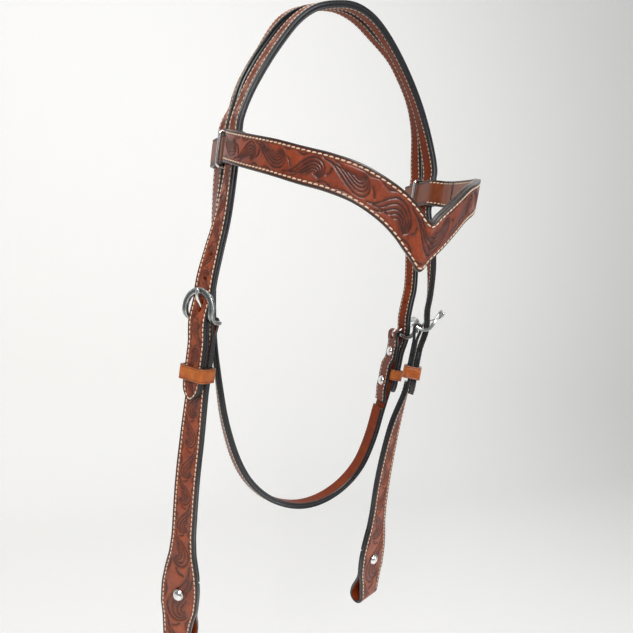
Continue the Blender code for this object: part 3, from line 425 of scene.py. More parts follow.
def smooth_rows(rows, step=station_step):
    """Catmull-Rom curve through rows of numbers, sampled evenly by the length of the first three."""
    rows = np.array([np.array(row, float) for row in rows])
    ends = np.vstack([2.0 * rows[:1] - rows[1:2], rows, 2.0 * rows[-1:] - rows[-2:-1]])
    a, b, c, d = (ends[k:len(ends) - 3 + k, None] for k in range(4))
    t = np.linspace(0.0, 1.0, spline_samples, endpoint=False)[:, None]
    dense = 0.5 * (2 * b + (c - a) * t + (2 * a - 5 * b + 4 * c - d) * t**2 + (3 * b - 3 * c + d - a) * t**3)
    dense = np.vstack([dense.reshape(-1, rows.shape[1]), rows[-1:]])
    lengths = lengths_along(dense[:, :3])
    count = max(3, int(round(lengths[-1] / step)) + 1)
    return interp_rows(np.linspace(0.0, lengths[-1], count), lengths, dense)


def lengths_along(points):
    return np.concatenate([[0.0], np.cumsum(np.linalg.norm(np.diff(points, axis=0), axis=1))])


def interp_rows(places, lengths, rows):
    return np.column_stack([np.interp(places, lengths, column) for column in rows.T])


def side_rows(upright, upper, straight, lower, pieces=5):
    """A side line as rows of x, y, z and angle, with its straight stretch in even pieces."""
    rows = [(z / MM, *upright) for z in (loop_straight_top, 0.0, loop_straight_bottom)]
    rows = np.array([*rows, *upper, *np.linspace(*straight, pieces + 1), *lower])
    return smooth_rows(rows[:, (1, 2, 0, 3)] * (MM, MM, MM, 1.0), side_step)


def turned_frame(point, along, angle, side):
    """Frame of a hanging strap whose face looks angle degrees from the front to its side."""
    outward = turned(-REAR, SIDEWAYS * side, math.radians(angle))
    outward = unit(outward - along * np.dot(outward, along))
    return Frame(point, np.cross(outward, along) * side, outward)


def line_frames(rows, side):
    """Frames along a side line; across points rearwards."""
    points = rows[:, :3]
    along = np.gradient(points, axis=0)
    return [turned_frame(p, unit(a), row[3], side) for p, a, row in zip(points, along, rows)]


def between(a, b, share):
    point, across, outward = ((1.0 - share) * getattr(a, k) + share * getattr(b, k)
                              for k in ("point", "across", "outward"))
    return Frame(point, unit(across), unit(outward))


def frame_at(frames, z):
    """The frame of a line at height z, between its two nearest stations."""
    for a, b in zip(frames, frames[1:]):
        if b.point[2] <= z <= a.point[2]:
            return between(a, b, (a.point[2] - z) / (a.point[2] - b.point[2]))
    return frames[-1] if z < frames[-1].point[2] else frames[0]


def frames_between(frames, top, bottom):
    inside = [f for f in frames if bottom + gap < f.point[2] < top - gap]
    return [frame_at(frames, top)] + inside + [frame_at(frames, bottom)]


def distance_along(frames):
    return lengths_along(np.array([f.point for f in frames]))


def frame_along(frames, travelled, distance):
    low = min(max(int(np.searchsorted(travelled, distance, side="right")) - 1, 0), len(frames) - 2)
    return between(frames[low], frames[low + 1],
                   (distance - travelled[low]) / (travelled[low + 1] - travelled[low]))


def resample(frames, fine_length, step):
    """The same line with close stations over its first stretch and wider ones after it."""
    travelled = distance_along(frames)
    fine = np.linspace(0.0, fine_length, int(round(fine_length / fine_step)), endpoint=False)
    rest = np.linspace(fine_length, travelled[-1], int(round((travelled[-1] - fine_length) / step)) + 1)
    return [frame_along(frames, travelled, d) for d in np.concatenate([fine, rest])]


def share_curve(shares, t):
    return np.interp(t, *zip(*shares))


def ramp(value, start, full):
    """Soft rise from 0 to 1 between two values."""
    t = min(max((value - start) / (full - start), 0.0), 1.0)
    return t * t * (3.0 - 2.0 * t)


def local_matrix(frame):
    """Axes for a fitting on a strap: x across, y up the strap, z out of its face."""
    x, z = unit(frame.across), unit(frame.outward)
    y = np.cross(z, x)
    if y[2] < 0.0:
        x, y = -x, -y
    columns = Matrix((x, y, z)).transposed().to_4x4()
    columns.translation = Vector(frame.point)
    return columns


def bar_matrix(line, bar_z, swing):
    """Axes of a buckle on its bar, swung out by some degrees."""
    bar = local_matrix(frame_at(line, bar_z)) @ Matrix.Translation((0.0, 0.0, bar_n))
    return bar @ Matrix.Rotation(math.radians(swing), 4, "X")


def cutter(name, matrix, centre, sides=None, radius=0.0, height=0.0, tilt=0.0):
    """A box from its three sides, or a round bar from its radius and height."""
    build = bmesh.new()
    place = Matrix.Translation(centre) @ Matrix.Rotation(tilt, 4, "X")
    if sides:
        bmesh.ops.create_cube(build, size=1.0, matrix=place @ Matrix.Diagonal((*sides, 1.0)))
    else:
        bmesh.ops.create_cone(build, cap_ends=True, segments=cutter_sides, radius1=radius, radius2=radius,
                              depth=height, matrix=place)
    mesh = bpy.data.meshes.new(name)
    build.to_mesh(mesh)
    build.free()
    made_cutter = bpy.data.objects.new(name, mesh)
    made_cutter.matrix_world = Matrix.Translation(PLACE) @ matrix
    return linked(made_cutter)


def screw_hole(name, f):
    return cutter(name, local_matrix(f), (0.0, 0.0, -strap / 2.0), radius=barrel_radius + gap, height=strap * 3.0)


def bar_slot(name, f):
    """Cutter for the slot in a fold that a buckle's tongue passes."""
    sides = (slot_half_width * 2.0, slot_high - slot_low, strap * 3.0)
    return cutter(name, local_matrix(f), (0.0, (slot_low + slot_high) / 2.0, 0.0), sides)


def billet_hole(name, matrix, strap_width):
    """The hole that the tongue passes, long enough for its swing."""
    _, hole, _ = tongue_points(strap_width)
    low, high = np.array(hole[0]), np.array(hole[-1])
    slope = math.atan2(*(high - low)[::-1])
    down = np.array((-math.sin(slope), math.cos(slope)))
    centre = (low + high) / 2.0 + down * (hole_play / 2.0 - hole_play_up)
    long_side = (tongue_radius + gap) * 2.0 + hole_play
    return cutter(name, matrix, (0.0, *centre), (hole_width, long_side, strap * 4.0), tilt=slope - math.pi / 2.0)


def fold_frames(frames, length, room):
    """Middle line of a layer that comes up a strap, round its buckle bar and back down inside.

    The room is what the returned part keeps free behind the outer one at each distance.
    """
    at_bar = bar_radius + gap + half_layer
    apart = half_layer + gap / 2.0

    def half_gap(distance):
        return at_bar + (apart - at_bar) * ramp(distance, 0.0, fold_taper)

    travelled = distance_along(frames)
    front = [f.lifted(bar_n + half_gap(d)) for f, d in zip(frames, travelled)]
    first = frames[0]
    up = -unit(frames[1].point - first.point)
    arms = [turned(first.outward, up, angle) for angle in np.linspace(0.0, math.pi, 7)[1:-1]]
    turn = [Frame(first.at(0.0, bar_n) + arm * at_bar, first.across, arm) for arm in arms]
    inner = [(f, d) for f, d in zip(frames, travelled) if d < length - gap]
    inner.append((frame_along(frames, travelled, length), length))
    return front, turn, [f.lifted(bar_n - half_gap(d) - room(d), -1.0) for f, d in inner]


def cheek_widths(distances, end):
    """Width along a cheek strap: even, then the leaf, then its narrower folded end."""
    past_dome = distances - end + leaf_below_dome
    shares = np.where(past_dome < 0.0, share_curve(LEAF_SHARES, past_dome / leaf_above_dome + 1.0),
                      share_curve(LEAF_END_SHARES, past_dome / leaf_below_dome))
    return list(cheek_width + (leaf_width - cheek_width) * shares)


def bit_fold(frames, widths):
    """The cheek's lower end: round the bit and up again behind, to above the screw."""
    radius = bit_loop_radius + half_layer
    last = frames[-1]
    down = unit(last.point - frames[-2].point)
    arms = [turned(last.outward, down, angle) for angle in np.linspace(0.0, math.pi, 9)[1:]]
    folded = [Frame(last.at(0.0, -half_layer - radius) + arm * radius, last.across, arm) for arm in arms]
    folded_widths = [widths[-1]] * len(folded)
    travelled = distance_along(frames)
    for climb in np.linspace(0.0, leaf_below_dome + bit_fold_above_dome, 12)[1:]:
        place = travelled[-1] - climb
        settled = ramp(climb, 0.0, bit_fold_settled)
        depth = (half_layer + 2.0 * radius) * (1.0 - settled) + (strap - half_layer) * settled
        folded.append(Frame(frame_along(frames, travelled, place).at(0.0, -depth), last.across, -last.outward))
        folded_widths.append(np.interp(place, travelled, widths) - gap * 2.0)
    return folded, folded_widths


def billet_lift(below_bar):
    """How far a billet stands off its strap's line: over the fold at the bar, then a gap below it."""
    bulge = 0.5 * (1.0 + math.cos(math.pi * min(abs(below_bar) / bar_relief_length, 1.0)))
    return bar_relief * bulge + gap * ramp(below_bar, -bar_relief_length, 0.0)


def billet_rows(frames, bar_z, n):
    """Edge points of a billet's layer below the loops, down to its rounded tip."""
    tip_z = bar_z - billet_past_bar
    tip_length = billet_width * billet_tip_share
    top = loop_straight_bottom - station_step / 2.0
    line = [(f, billet_width) for f in frames if tip_z + tip_length + gap < f.point[2] < top]
    line += [(frame_at(frames, tip_z + tip_length * (1.0 - share)),
              billet_width * max(math.sqrt(1.0 - share**2), billet_nose_share)) for share in np.linspace(0.0, 1.0, 7)]
    return [f.edges(width, n + billet_lift(bar_z - f.point[2])) for f, width in line]


def crown_lean(point):
    """Degrees that the crown's rear edge is turned outwards at a point of its front edge."""
    shoulder = left_shoulder_lean if point[0] < 0.0 else right_shoulder_lean
    rise = ramp(point[2] - loop_straight_top, 0.0, shoulder_share * arch_height)
    over = ramp(point[2] / arch_height, apex_share, 1.0)
    return side_lean + (shoulder - side_lean) * rise + (apex_lean - shoulder) * over


def crown_frames(left, right):
    """Frames of the crown's front edge on its outer face, from the left loop to the right."""
    ends = [frame_at(frames, loop_straight_top).at(-billet_centre, strap) for frames in (left, right)]
    low, high = ([(end[0], front_edge_y, z) for z in (loop_straight_bottom, 0.0)] + [end] for end in ends)
    arch = [(x * arch_half_width, front_edge_y, z * arch_height) for x, z in ARCH_SHARES]
    points = smooth_rows(low + arch + high[::-1])
    on_left = points[:, 0] < 0.0
    places = np.where(on_left[:, None], *ends)
    points[:, 0] = np.where(points[:, 2] < loop_straight_top, places[:, 0], points[:, 0])
    points[:, 1] = places[:, 1]
    frames = []
    for point, step in zip(points, np.gradient(points, axis=0)):
        step = unit((step[0], 0.0, step[2]))
        out = np.array((-step[2], 0.0, step[0]))
        lean = math.radians(crown_lean(point))
        frames.append(Frame(point, turned(REAR, out, lean), turned(out, -REAR, lean)))
    return frames


def rear_strap_turn(point):
    """Degrees that the left rear strap is turned in from the plane of the front one."""
    if point[0] > 0.0:
        return 0.0
    fade = ramp(point[2] / arch_height, rear_turn_fade_share, rear_turn_end_share)
    return rear_turn * ramp(point[2], rear_turn_start, rear_turn_full) * (1.0 - fade)


def crown_rows(frames, depth):
    """Four points across the crown at each station: front strap, then rear strap."""
    travelled = distance_along(frames)
    apex = travelled[highest(frames)]
    rows = []
    for f, d in zip(frames, travelled):
        step = rear_step * (ramp(abs(d - apex) - crown_joined_half, 0.0, rear_step_run)
                            * ramp(f.point[2] / arch_height, rear_step_low_share, rear_step_high_share))
        rear = f.at(throat_offset, depth + step)
        far = rear + billet_width * turned(f.across, -f.outward, math.radians(rear_strap_turn(f.point)))
        rows.append([f.at(0.0, depth), f.at(billet_width, depth), rear, far])
    return rows


def highest(frames):
    return max(range(len(frames)), key=lambda i: frames[i].point[2])


def rear_start(rows):
    """Where the left rear strap ends inside its loop: its first whole station and the cut end."""
    first = next(i for i, row in enumerate(rows) if row[2][2] > gap * 2.0)
    low, high = rows[first - 1], rows[first]
    share = (gap - low[2][2]) / (high[2][2] - low[2][2])
    return first, [a + (b - a) * share for a, b in zip(low[2:], high[2:])]


def throat_frames(left_start, right_line):
    """The throatlatch's outer face from the left loop, under the jaw and up to its buckle."""
    rows = [left_start, (*left_start[:2], loop_straight_bottom)]
    rows += [(x * MM, throat_y, z * MM) for x, z in THROAT_LEFT]
    straight_end = THROAT_LINE[2][1][0] * MM
    climb = [f.point for f in right_line if straight_end < f.point[2] < throat_bar_z - gap]
    points = smooth_rows([*rows, *climb[::-1][::2], frame_at(right_line, throat_bar_z).point], throat_step)
    travelled = lengths_along(points)
    frames = []
    for point, step, d in zip(points, np.gradient(points, axis=0), travelled):
        step = unit(step)
        tilt = math.radians(share_curve(THROAT_TILT_SHARES, d / travelled[-1]))
        across = turned(REAR, unit((step[2], 0.0, -step[0])), tilt)
        across = unit(across - step * np.dot(across, step))
        frames.append(Frame(point, across, np.cross(across, step)))
    return frames


def keeper_room(distance):
    """What the throatlatch's fold keeps free for the keeper that passes inside it."""
    rise = ramp(distance, throat_room_start, throat_room_full)
    return (throat_under_keeper - gap) * rise * ramp(distance, throat_fold_length, throat_room_end)


def brow_plan(left, right):
    """Middle line of the browband's outer layer from one loop to the other."""
    rise = strap + loop_clearance + half_layer
    halves = []
    for f, half_width, drops in ((left, -browband_left_half, BROW_LEFT_DROP_SHARES),
                                 (right, browband_right_half, BROW_RIGHT_DROP_SHARES)):
        arm = [(*f.at(-billet_centre - loop_clearance, rise)[:2], browband_z)]
        arm += [(half_width * x, -browband_reach * y, browband_z - browband_drop * d)
                for (x, y), d in zip(BROW_PLAN_SHARES, drops)]
        halves.append(smooth_rows(arm))
    return halves[0], halves[1][::-1][1:]


def brow_loop(f):
    """Round the two straps: from the outer run's front, back round the rear edge and forward."""
    outer_n = strap + loop_clearance + half_layer
    inner_n = -loop_clearance - half_layer
    radius = (outer_n - inner_n) / 2.0
    rear = throat_offset + billet_width - billet_centre + loop_clearance
    count = int(round((rear + billet_centre) / loop_step))
    places = [(t, outer_n) for t in np.linspace(-billet_centre, rear, count)[1:]]
    places += [(rear + radius * math.sin(a), inner_n + radius + radius * math.cos(a))
               for a in np.linspace(0.0, math.pi, 7)[1:-1]]
    places += [(t, inner_n) for t in np.linspace(rear, -billet_centre, count)]
    return [np.array((*f.at(*place)[:2], browband_z)) for place in places]


def plan_normals(points):
    """Unit normals in plan on the outside of a run that goes from left to right past the front."""
    along = np.gradient(np.array(points)[:, :2], axis=0)
    return [unit((a[1], -a[0], 0.0)) for a in along]


def brow_halves(points):
    """From the middle line to the upper edge: square to the run's slope, tucked in below near the tip."""
    steps = np.diff(points, axis=0)
    slopes = np.abs(steps[:, 2]) / np.linalg.norm(steps[:, :2], axis=1)
    slopes = (np.append(slopes[:1], slopes) + np.append(slopes, slopes[-1:])) / 2.0
    leans = np.radians(share_curve(BROW_LEAN_SHARES, np.abs(points[:, 0]) / browband_left_half))
    return np.array([browband_height / 2.0 * math.hypot(1.0, slope) * turned(UP, normal, lean)
                     for slope, normal, lean in zip(slopes, plan_normals(points), leans)])


def inner_end(arm, side, start):
    """The returned end: from the straps forward until it lies against the outer layer."""
    normals = np.array(plan_normals(arm)) * -side
    begin = np.linalg.norm(arm[0][:2] - start[:2])
    ways = np.linspace(0.0, inner_run, 7)[1:]
    rows = interp_rows(ways, lengths_along(arm[:, :2]), np.hstack([arm, normals]))
    return [row[:3] - unit(row[3:]) * (begin + (layer + gap - begin) * ramp(d, 0.0, inner_run_join))
            for row, d in zip(rows, ways)]


def brow_lining_rows(middle):
    """Edges of the lining between the two returned ends, close behind the outer layer."""
    travelled = lengths_along(middle[:, :2])
    rows = []
    for p, half, step, d in zip(middle, brow_halves(middle), np.gradient(middle, axis=0), travelled):
        if inner_run + gap * 2.0 < d < travelled[-1] - inner_run - gap * 2.0:
            inside = p - unit(np.cross(step, half)) * (layer + gap)
            rows.append((inside - half, inside + half))
    return rows


def buckle_sizes(strap_width):
    """Half width and reach of a buckle's middle line, and how far its arch stands off its bar."""
    half = strap_width / 2.0 + buckle_side_clearance + buckle_band / 2.0
    arch = gap + strap + arch_clearance + buckle_thickness / 2.0 - bar_n
    return half, buckle_straight + half, arch


def buckle_side(run, arch):
    """A buckle seen from the side, as height up the strap and distance out from the bar."""
    leg = arch - buckle_bend
    bend = buckle_bend * math.pi / 2.0
    if run < leg:
        return 0.0, run
    if run < leg + bend:
        angle = (run - leg) / buckle_bend
        return buckle_bend * (1.0 - math.cos(angle)), leg + buckle_bend * math.sin(angle)
    return buckle_bend + run - leg - bend, arch


def tongue_points(strap_width):
    """Middle line of a tongue, up the strap and out: round the bar, through the hole, to the arch."""
    _, reach, arch = buckle_sizes(strap_width)
    ring = bar_radius + gap + tongue_radius
    turn = [(ring * math.cos(a), ring * math.sin(a)) for a in np.radians(np.linspace(-215.0, 35.0, 9))]
    far_side = strap + gap - bar_n
    rest = arch + buckle_thickness / 2.0 + tongue_radius + gap
    hole = [(reach * a, far_side * b) for a, b in TONGUE_HOLE_SHARES]
    tip = [(reach * a, rest * b) for a, b in TONGUE_REST_SHARES] + [(reach + tongue_past_arch, rest)]
    return turn, hole, tip


# Meshes

def mesh_object(name, points, faces, materials, indices=None):
    """A smooth mesh from points in the part's own lines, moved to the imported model's place."""
    mesh = bpy.data.meshes.new(name)
    mesh.from_pydata([tuple(p) for p in np.asarray(points) + PLACE], [], faces)
    for material in materials:
        mesh.materials.append(material)
    if indices is not None:
        mesh.polygons.foreach_set("material_index", np.asarray(indices, dtype=np.int32))
    mesh.shade_smooth()
    build = bmesh.new()
    build.from_mesh(mesh)
    bmesh.ops.recalc_face_normals(build, faces=build.faces)
    build.to_mesh(mesh)
    build.free()
    return linked(bpy.data.objects.new(name, mesh))


def linked(made_object):
    bpy.context.scene.collection.objects.link(made_object)
    return made_object


def ring_faces(count, around, closed=False):
    """Quads between rings of points, with a cap at both ends unless the line is closed."""
    near = np.arange(count - (not closed))[:, None] * around + np.arange(around)
    corners = [near, np.roll(near, -1, axis=1)]
    corners += [(side + around) % (count * around) for side in corners[::-1]]
    faces = [tuple(face) for face in np.stack(corners, axis=-1).reshape(-1, 4).tolist()]
    return faces if closed else [*faces, tuple(range(around)), tuple(range((count - 1) * around, count * around))]


def store(piece, name, values):
    layer_of_values = piece.data.attributes.new(name, "FLOAT", "POINT")
    layer_of_values.data.foreach_set("value", np.asarray(values, dtype=np.float32))


class Ribbon:
    """Close stations along a strap layer: centre, across, normal, width and distance."""

    def __init__(self, rows, step, closed=False):
        columns = [np.concatenate([(a + b) / 2.0, a, b, out]) for a, b, out in rows]
        if closed:
            columns = columns[-3:] + columns + columns[:3]
        dense = smooth_rows(columns, step)
        if closed:
            dense = self.one_turn(dense, columns[3][:3])
        self.closed = closed
        self.left, self.right = dense[:, 3:6], dense[:, 6:9]
        self.centre = (self.left + self.right) / 2.0
        self.width = np.linalg.norm(self.right - self.left, axis=1)
        self.across = (self.right - self.left) / self.width[:, None]
        normal = np.cross(self.across, np.gradient(self.centre, axis=0))
        turn = np.sign(np.sum(normal * dense[:, 9:12], axis=1))
        self.normal = normal * (turn / np.linalg.norm(normal, axis=1))[:, None]
        self.distance = lengths_along(self.centre)
        self.length = self.distance[-1]

    @staticmethod
    def one_turn(dense, start):
        """The stretch of a closed line from its first row until it comes round again."""
        near = np.linalg.norm(dense[:, :3] - start, axis=1)
        half = len(dense) // 2
        first = int(np.argmin(near[:half]))
        last = half + int(np.argmin(near[half:]))
        return dense[first:last]


def section_columns(up, down, rounding, face_count):
    """Cross-section ring of a layer as (share, offset, height, part it belongs to) columns.

    A column's place across is share times half the width, plus the offset.
    """
    right = [(1.0, rounding * (math.cos(a) - 1.0), up - rounding * (1.0 - math.sin(a)), EDGE)
             for a in np.radians((60.0, 30.0, 0.0))] + [(1.0, 0.0, back_round - down, EDGE)]
    left = [(-share, -offset, height, part) for share, offset, height, part in right[::-1]]
    face = [(share, -share * rounding, up, FACE) for share in np.linspace(-1.0, 1.0, face_count)]
    back = [(share, -share * back_round, -down, BACK) for share in np.linspace(1.0, -1.0, 4)]
    return face + right + back + left


def layer_object(name, ribbon, up, down, relief, materials, face_step, rounding=edge_round, spread=None):
    """Closed body of one layer: relief on its face, rounded edges, flat back.

    relief(distance, across, width) gives height and darkening: antiquing, ink and grooves on leather, painted shade
    in a buckle's channel; spread(ribbon) widens an edge.
    """
    face_count = max(6, int(round(float(np.max(ribbon.width)) / face_step)) + 1)
    shares, offsets, heights, parts = np.array(section_columns(up, down, rounding, face_count)).T
    width = ribbon.width[:, None]
    heights = heights * np.ones_like(width)
    grow = spread(ribbon) if spread else np.zeros((len(width), 2))
    grow = np.where(shares < 0.0, grow[:, :1], grow[:, 1:])
    open_edge = (grow > 0.0) & (np.abs(shares) > 0.999)
    across = shares * width / 2.0 + np.where(open_edge, 0.0, offsets) + shares * grow
    heights = np.where(open_edge & (parts == EDGE) & (heights > 0.0), up, heights)
    shade = np.zeros_like(across)
    if relief:
        face = parts == FACE
        lift, shade[:, face] = relief(ribbon.distance[:, None], across[:, face], width)
        heights[:, face] += lift
    points = (ribbon.centre[:, None] + ribbon.across[:, None] * across[:, :, None]
              + ribbon.normal[:, None] * heights[:, :, None])
    count, around = across.shape
    indices = np.where(parts == np.roll(parts, -1), parts, EDGE).tolist() * (count - (not ribbon.closed))
    indices += [] if ribbon.closed else [EDGE, EDGE]
    piece = mesh_object(name, points.reshape(-1, 3), ring_faces(count, around, ribbon.closed), materials, indices)
    # The 'tooling' values: antiquing, ink and groove darkening on leather, painted shade in a buckle's channel
    store(piece, "tooling", shade.reshape(-1))
    return piece


def stitch_template():
    """One stitch: a pillow of thread that dips into the leather at both ends."""
    points = [(place * stitch_length, size * stitch_radius * math.cos(a),
               stitch_radius * (size * math.sin(a) + dip + stitch_lift))
              for place, size, dip in STITCH_STATIONS for a in np.radians(range(0, 360, 60))]
    return np.array(points), ring_faces(len(STITCH_STATIONS), 6)


def stitches(name, lines, body, slot):
    """Thread along lines of (points, normals), as one mesh of separate stitches."""
    template, template_faces = stitch_template()
    rng = np.random.default_rng(len(name))
    points, faces = [], []
    for line in lines:
        travelled = lengths_along(line[:, :3])
        count = int(travelled[-1] / stitch_pitch)
        middles = (np.arange(count) + 0.5) * travelled[-1] / count
        ahead, here, behind = (interp_rows(middles + d, travelled, line) for d in (stitch_aim, 0.0, -stitch_aim))
        for row, aim in zip(here, (ahead - behind)[:, :3]):
            n, t = unit(row[3:]), unit(aim)
            b = unit(np.cross(n, t))
            slant = stitch_slant + rng.normal(0.0, stitch_scatter)
            t, b = turned(t, b, slant), turned(b, -t, slant)
            base = len(points) * len(template)
            points.append(row[:3] + template @ np.array((t, b, n)))
            faces += [tuple(base + i for i in face) for face in template_faces]
    dress(mesh_object(name, np.concatenate(points), faces, [made["thread"]]), body, slot)


def stitch_lines(ribbon, start=0.0, end=math.inf):
    """Rows of point and normal along both edges of a ribbon between two distances."""
    inside = (ribbon.distance >= start) & (ribbon.distance <= end)
    lines = []
    for side in (-1.0, 1.0):
        offset = (ribbon.width / 2.0 - stitch_inset) * side
        line = ribbon.centre + ribbon.across * offset[:, None] + ribbon.normal * (half_layer - groove_depth)
        lines.append(np.hstack([line, ribbon.normal])[inside])
    return lines


# Tooling

def flowing(points):
    return smooth_rows([(x, y, 0.0) for x, y in points], flow_step)[:, :2]


def lobe_lines(shares):
    """One leaf of the scroll, curling down from the border: its outline and the folds nested inside it."""
    outline, focus = flowing(LOBE_OUTLINE), np.array(LOBE_FOCUS)
    return [focus + (outline - focus) * np.array((share, share**lobe_squeeze)) for share in shares]


def scroll_strokes(shares):
    """Cuts of one period as (line, soft width of the darkened ground beside it)."""
    half = [(line, fold_soft if number else outline_soft) for number, line in enumerate(lobe_lines(shares))]
    half += [(flowing(line), small_soft) for line in SMALL_CUTS]
    other = [(np.column_stack([p[:, 0] + tool_period / 2.0, -p[:, 1]])[::-1], soft) for p, soft in half]
    return half + other


def carve_cell(shares, cut_width):
    """Height of the carved pattern over one period, 0 on the face and -1 in a cut, and its antique shade."""
    xs = np.arange(0.0, tool_period, tool_cell)
    ys = np.arange(-1.0, 1.0 + tool_cell / 2.0, tool_cell)
    grid = np.stack(np.meshgrid(xs, ys, indexing="ij"), axis=-1).reshape(-1, 2)
    height, shade = np.zeros(len(grid)), np.zeros(len(grid))
    for line, soft in scroll_strokes(shares):
        for shift in (-tool_period, 0.0, tool_period):
            moved = line + np.array((shift, 0.0))
            near = (grid[:, 0] > moved[:, 0].min() - cut_reach) & (grid[:, 0] < moved[:, 0].max() + cut_reach)
            if not near.any():
                continue
            away, side = signed_distance(grid[near], moved)
            cut_height = -np.exp(-(away / cut_width) ** 2)
            bevel = -bevel_depth * np.clip(1.0 - away / bevel_width, 0.0, 1.0) ** bevel_curve * (side > 0.0)
            height[near] = np.minimum(height[near], np.minimum(cut_height, bevel))
            dark = np.maximum(cut_dark * np.exp(-(away / (cut_width * cut_dark_spread)) ** 2),
                              ground_dark * np.exp(-(away / soft) ** 2))
            shade[near] = np.maximum(shade[near], dark)
    return np.stack([height, shade]).reshape(2, len(xs), len(ys))


def signed_distance(points, line):
    """Distance from each point to a line of segments, and the side that it lies on."""
    best = np.full(len(points), 9.0)
    side = np.zeros(len(points))
    for a, b in zip(line, line[1:]):
        step = b - a
        share = np.clip(((points - a) @ step) / max(step @ step, 1e-12), 0.0, 1.0)
        off = points - (a + share[:, None] * step)
        away = np.linalg.norm(off, axis=1)
        closer = away < best
        best = np.where(closer, away, best)
        side = np.where(closer, step[0] * off[:, 1] - step[1] * off[:, 0], side)
    return best, side


def sample_cell(cell, x, y):
    """Bilinear reading of a carved cell's height and shade at any place along and across."""
    x = np.mod(x, tool_period) / tool_cell
    y = (np.clip(y, -1.0, 1.0) + 1.0) / tool_cell
    i, j = np.floor(x).astype(int), np.minimum(np.floor(y).astype(int), cell.shape[2] - 2)
    fx, fy = x - i, y - j
    i, n = i % cell.shape[1], (i + 1) % cell.shape[1]
    low = cell[:, i, j] * (1.0 - fx) + cell[:, n, j] * fx
    high = cell[:, i, j + 1] * (1.0 - fx) + cell[:, n, j + 1] * fx
    return low * (1.0 - fy) + high * fy


def edge_relief(distance, across, width):
    """Groove that the stitches lie in, along both edges, with ink outside it."""
    from_edge = width / 2.0 - np.abs(across)
    groove = np.exp(-((from_edge - stitch_inset) / groove_width) ** 2)
    ink = ink_share * np.clip((ink_width - from_edge) / ink_fade, 0.0, 1.0)
    return -groove_depth * groove, np.maximum(groove_dark * groove, ink)


def tooled_relief(cell, phase, start=-math.inf, end=math.inf, strength=1.0):
    """Stitch grooves, border line and floral scroll between them."""
    def relief(distance, across, width):
        lift, dark = edge_relief(distance, across, width)
        field = width / 2.0 - tool_inset
        x = np.cumsum(np.diff(distance, axis=0, prepend=distance[:1]) / field, axis=0) + phase
        x = x + ALONG_WAVER * np.sin(distance * ALONG_OFTEN + phase) + FINE_WAVER * np.sin(distance * FINE_OFTEN)
        carved, shade = sample_cell(cell, x, across / field + ACROSS_WAVER * np.sin(x * ACROSS_OFTEN + phase))
        inside = np.clip((field_end - np.abs(across) / field) / field_fade, 0.0, 1.0)
        border = np.exp(-((np.abs(across) - field) / border_width) ** 2)
        here = np.clip(np.minimum(distance - start, end - distance) / tool_fade, 0.0, 1.0)
        lift = lift + here * (tool_depth * carved * inside - crease_depth * border)
        dark = np.maximum(dark, here * strength * shade * inside)
        return lift, np.clip(np.maximum(dark, here * border_dark * border), 0.0, 1.0)
    return relief


# Materials

class Look:
    """A material under way, with short calls for the nodes that the looks share."""

    def __init__(self, name):
        self.made = bpy.data.materials.new(name)
        self.made.use_nodes = True
        self.nodes, self.links = self.made.node_tree.nodes, self.made.node_tree.links
        self.nodes.clear()
        self.shader = self.node("BsdfPrincipled")
        self.node("OutputMaterial", Surface=self.shader.outputs["BSDF"])
        self.place = self.node("TexCoord").outputs["Object"]

    def fill(self, sockets, values):
        """Link other nodes' outputs, or set colours and numbers."""
        for socket, value in zip(sockets, values):
            if isinstance(value, bpy.types.NodeSocket):
                self.links.new(value, socket)
            else:
                socket.default_value = (*value, 1.0) if isinstance(value, tuple) else value

    def shade(self, node=None, **inputs):
        """Fill inputs of the shader or of a node; an underscore stands for a space in an input's name."""
        node = node or self.shader
        self.fill([node.inputs[name.replace("_", " ")] for name in inputs], inputs.values())
        return node

    def node(self, kind, **inputs):
        return self.shade(self.nodes.new("ShaderNode" + kind), **inputs)

    def noise(self, scale, detail=3.0, roughness=0.55, distortion=0.0):
        return self.node("TexNoise", Scale=scale, Detail=detail, Roughness=roughness, Distortion=distortion,
                         Vector=self.place).outputs["Fac"]

    def attribute(self, name):
        node = self.node("Attribute")
        node.attribute_name = name
        return node.outputs["Fac"]

    def spread(self, value, low, high, to_low=0.0, to_high=1.0):
        return self.node("MapRange", From_Min=low, From_Max=high, To_Min=to_low, To_Max=to_high,
                         Value=value).outputs["Result"]

    def mix(self, share, first, second):
        node = self.node("Mix")
        node.data_type = "RGBA"
        self.fill((node.inputs["Factor"], node.inputs[6], node.inputs[7]), (share, first, second))
        return node.outputs[2]

    def combine(self, operation, first, second):
        node = self.node("Math")
        node.operation = operation
        self.fill(node.inputs, (first, second))
        return node.outputs["Value"]

    def times(self, value, share):
        return self.combine("MULTIPLY", value, share)

    def bump(self, height, distance, strength):
        self.shade(Normal=self.node("Bump", Strength=strength, Distance=distance, Height=height).outputs["Normal"])


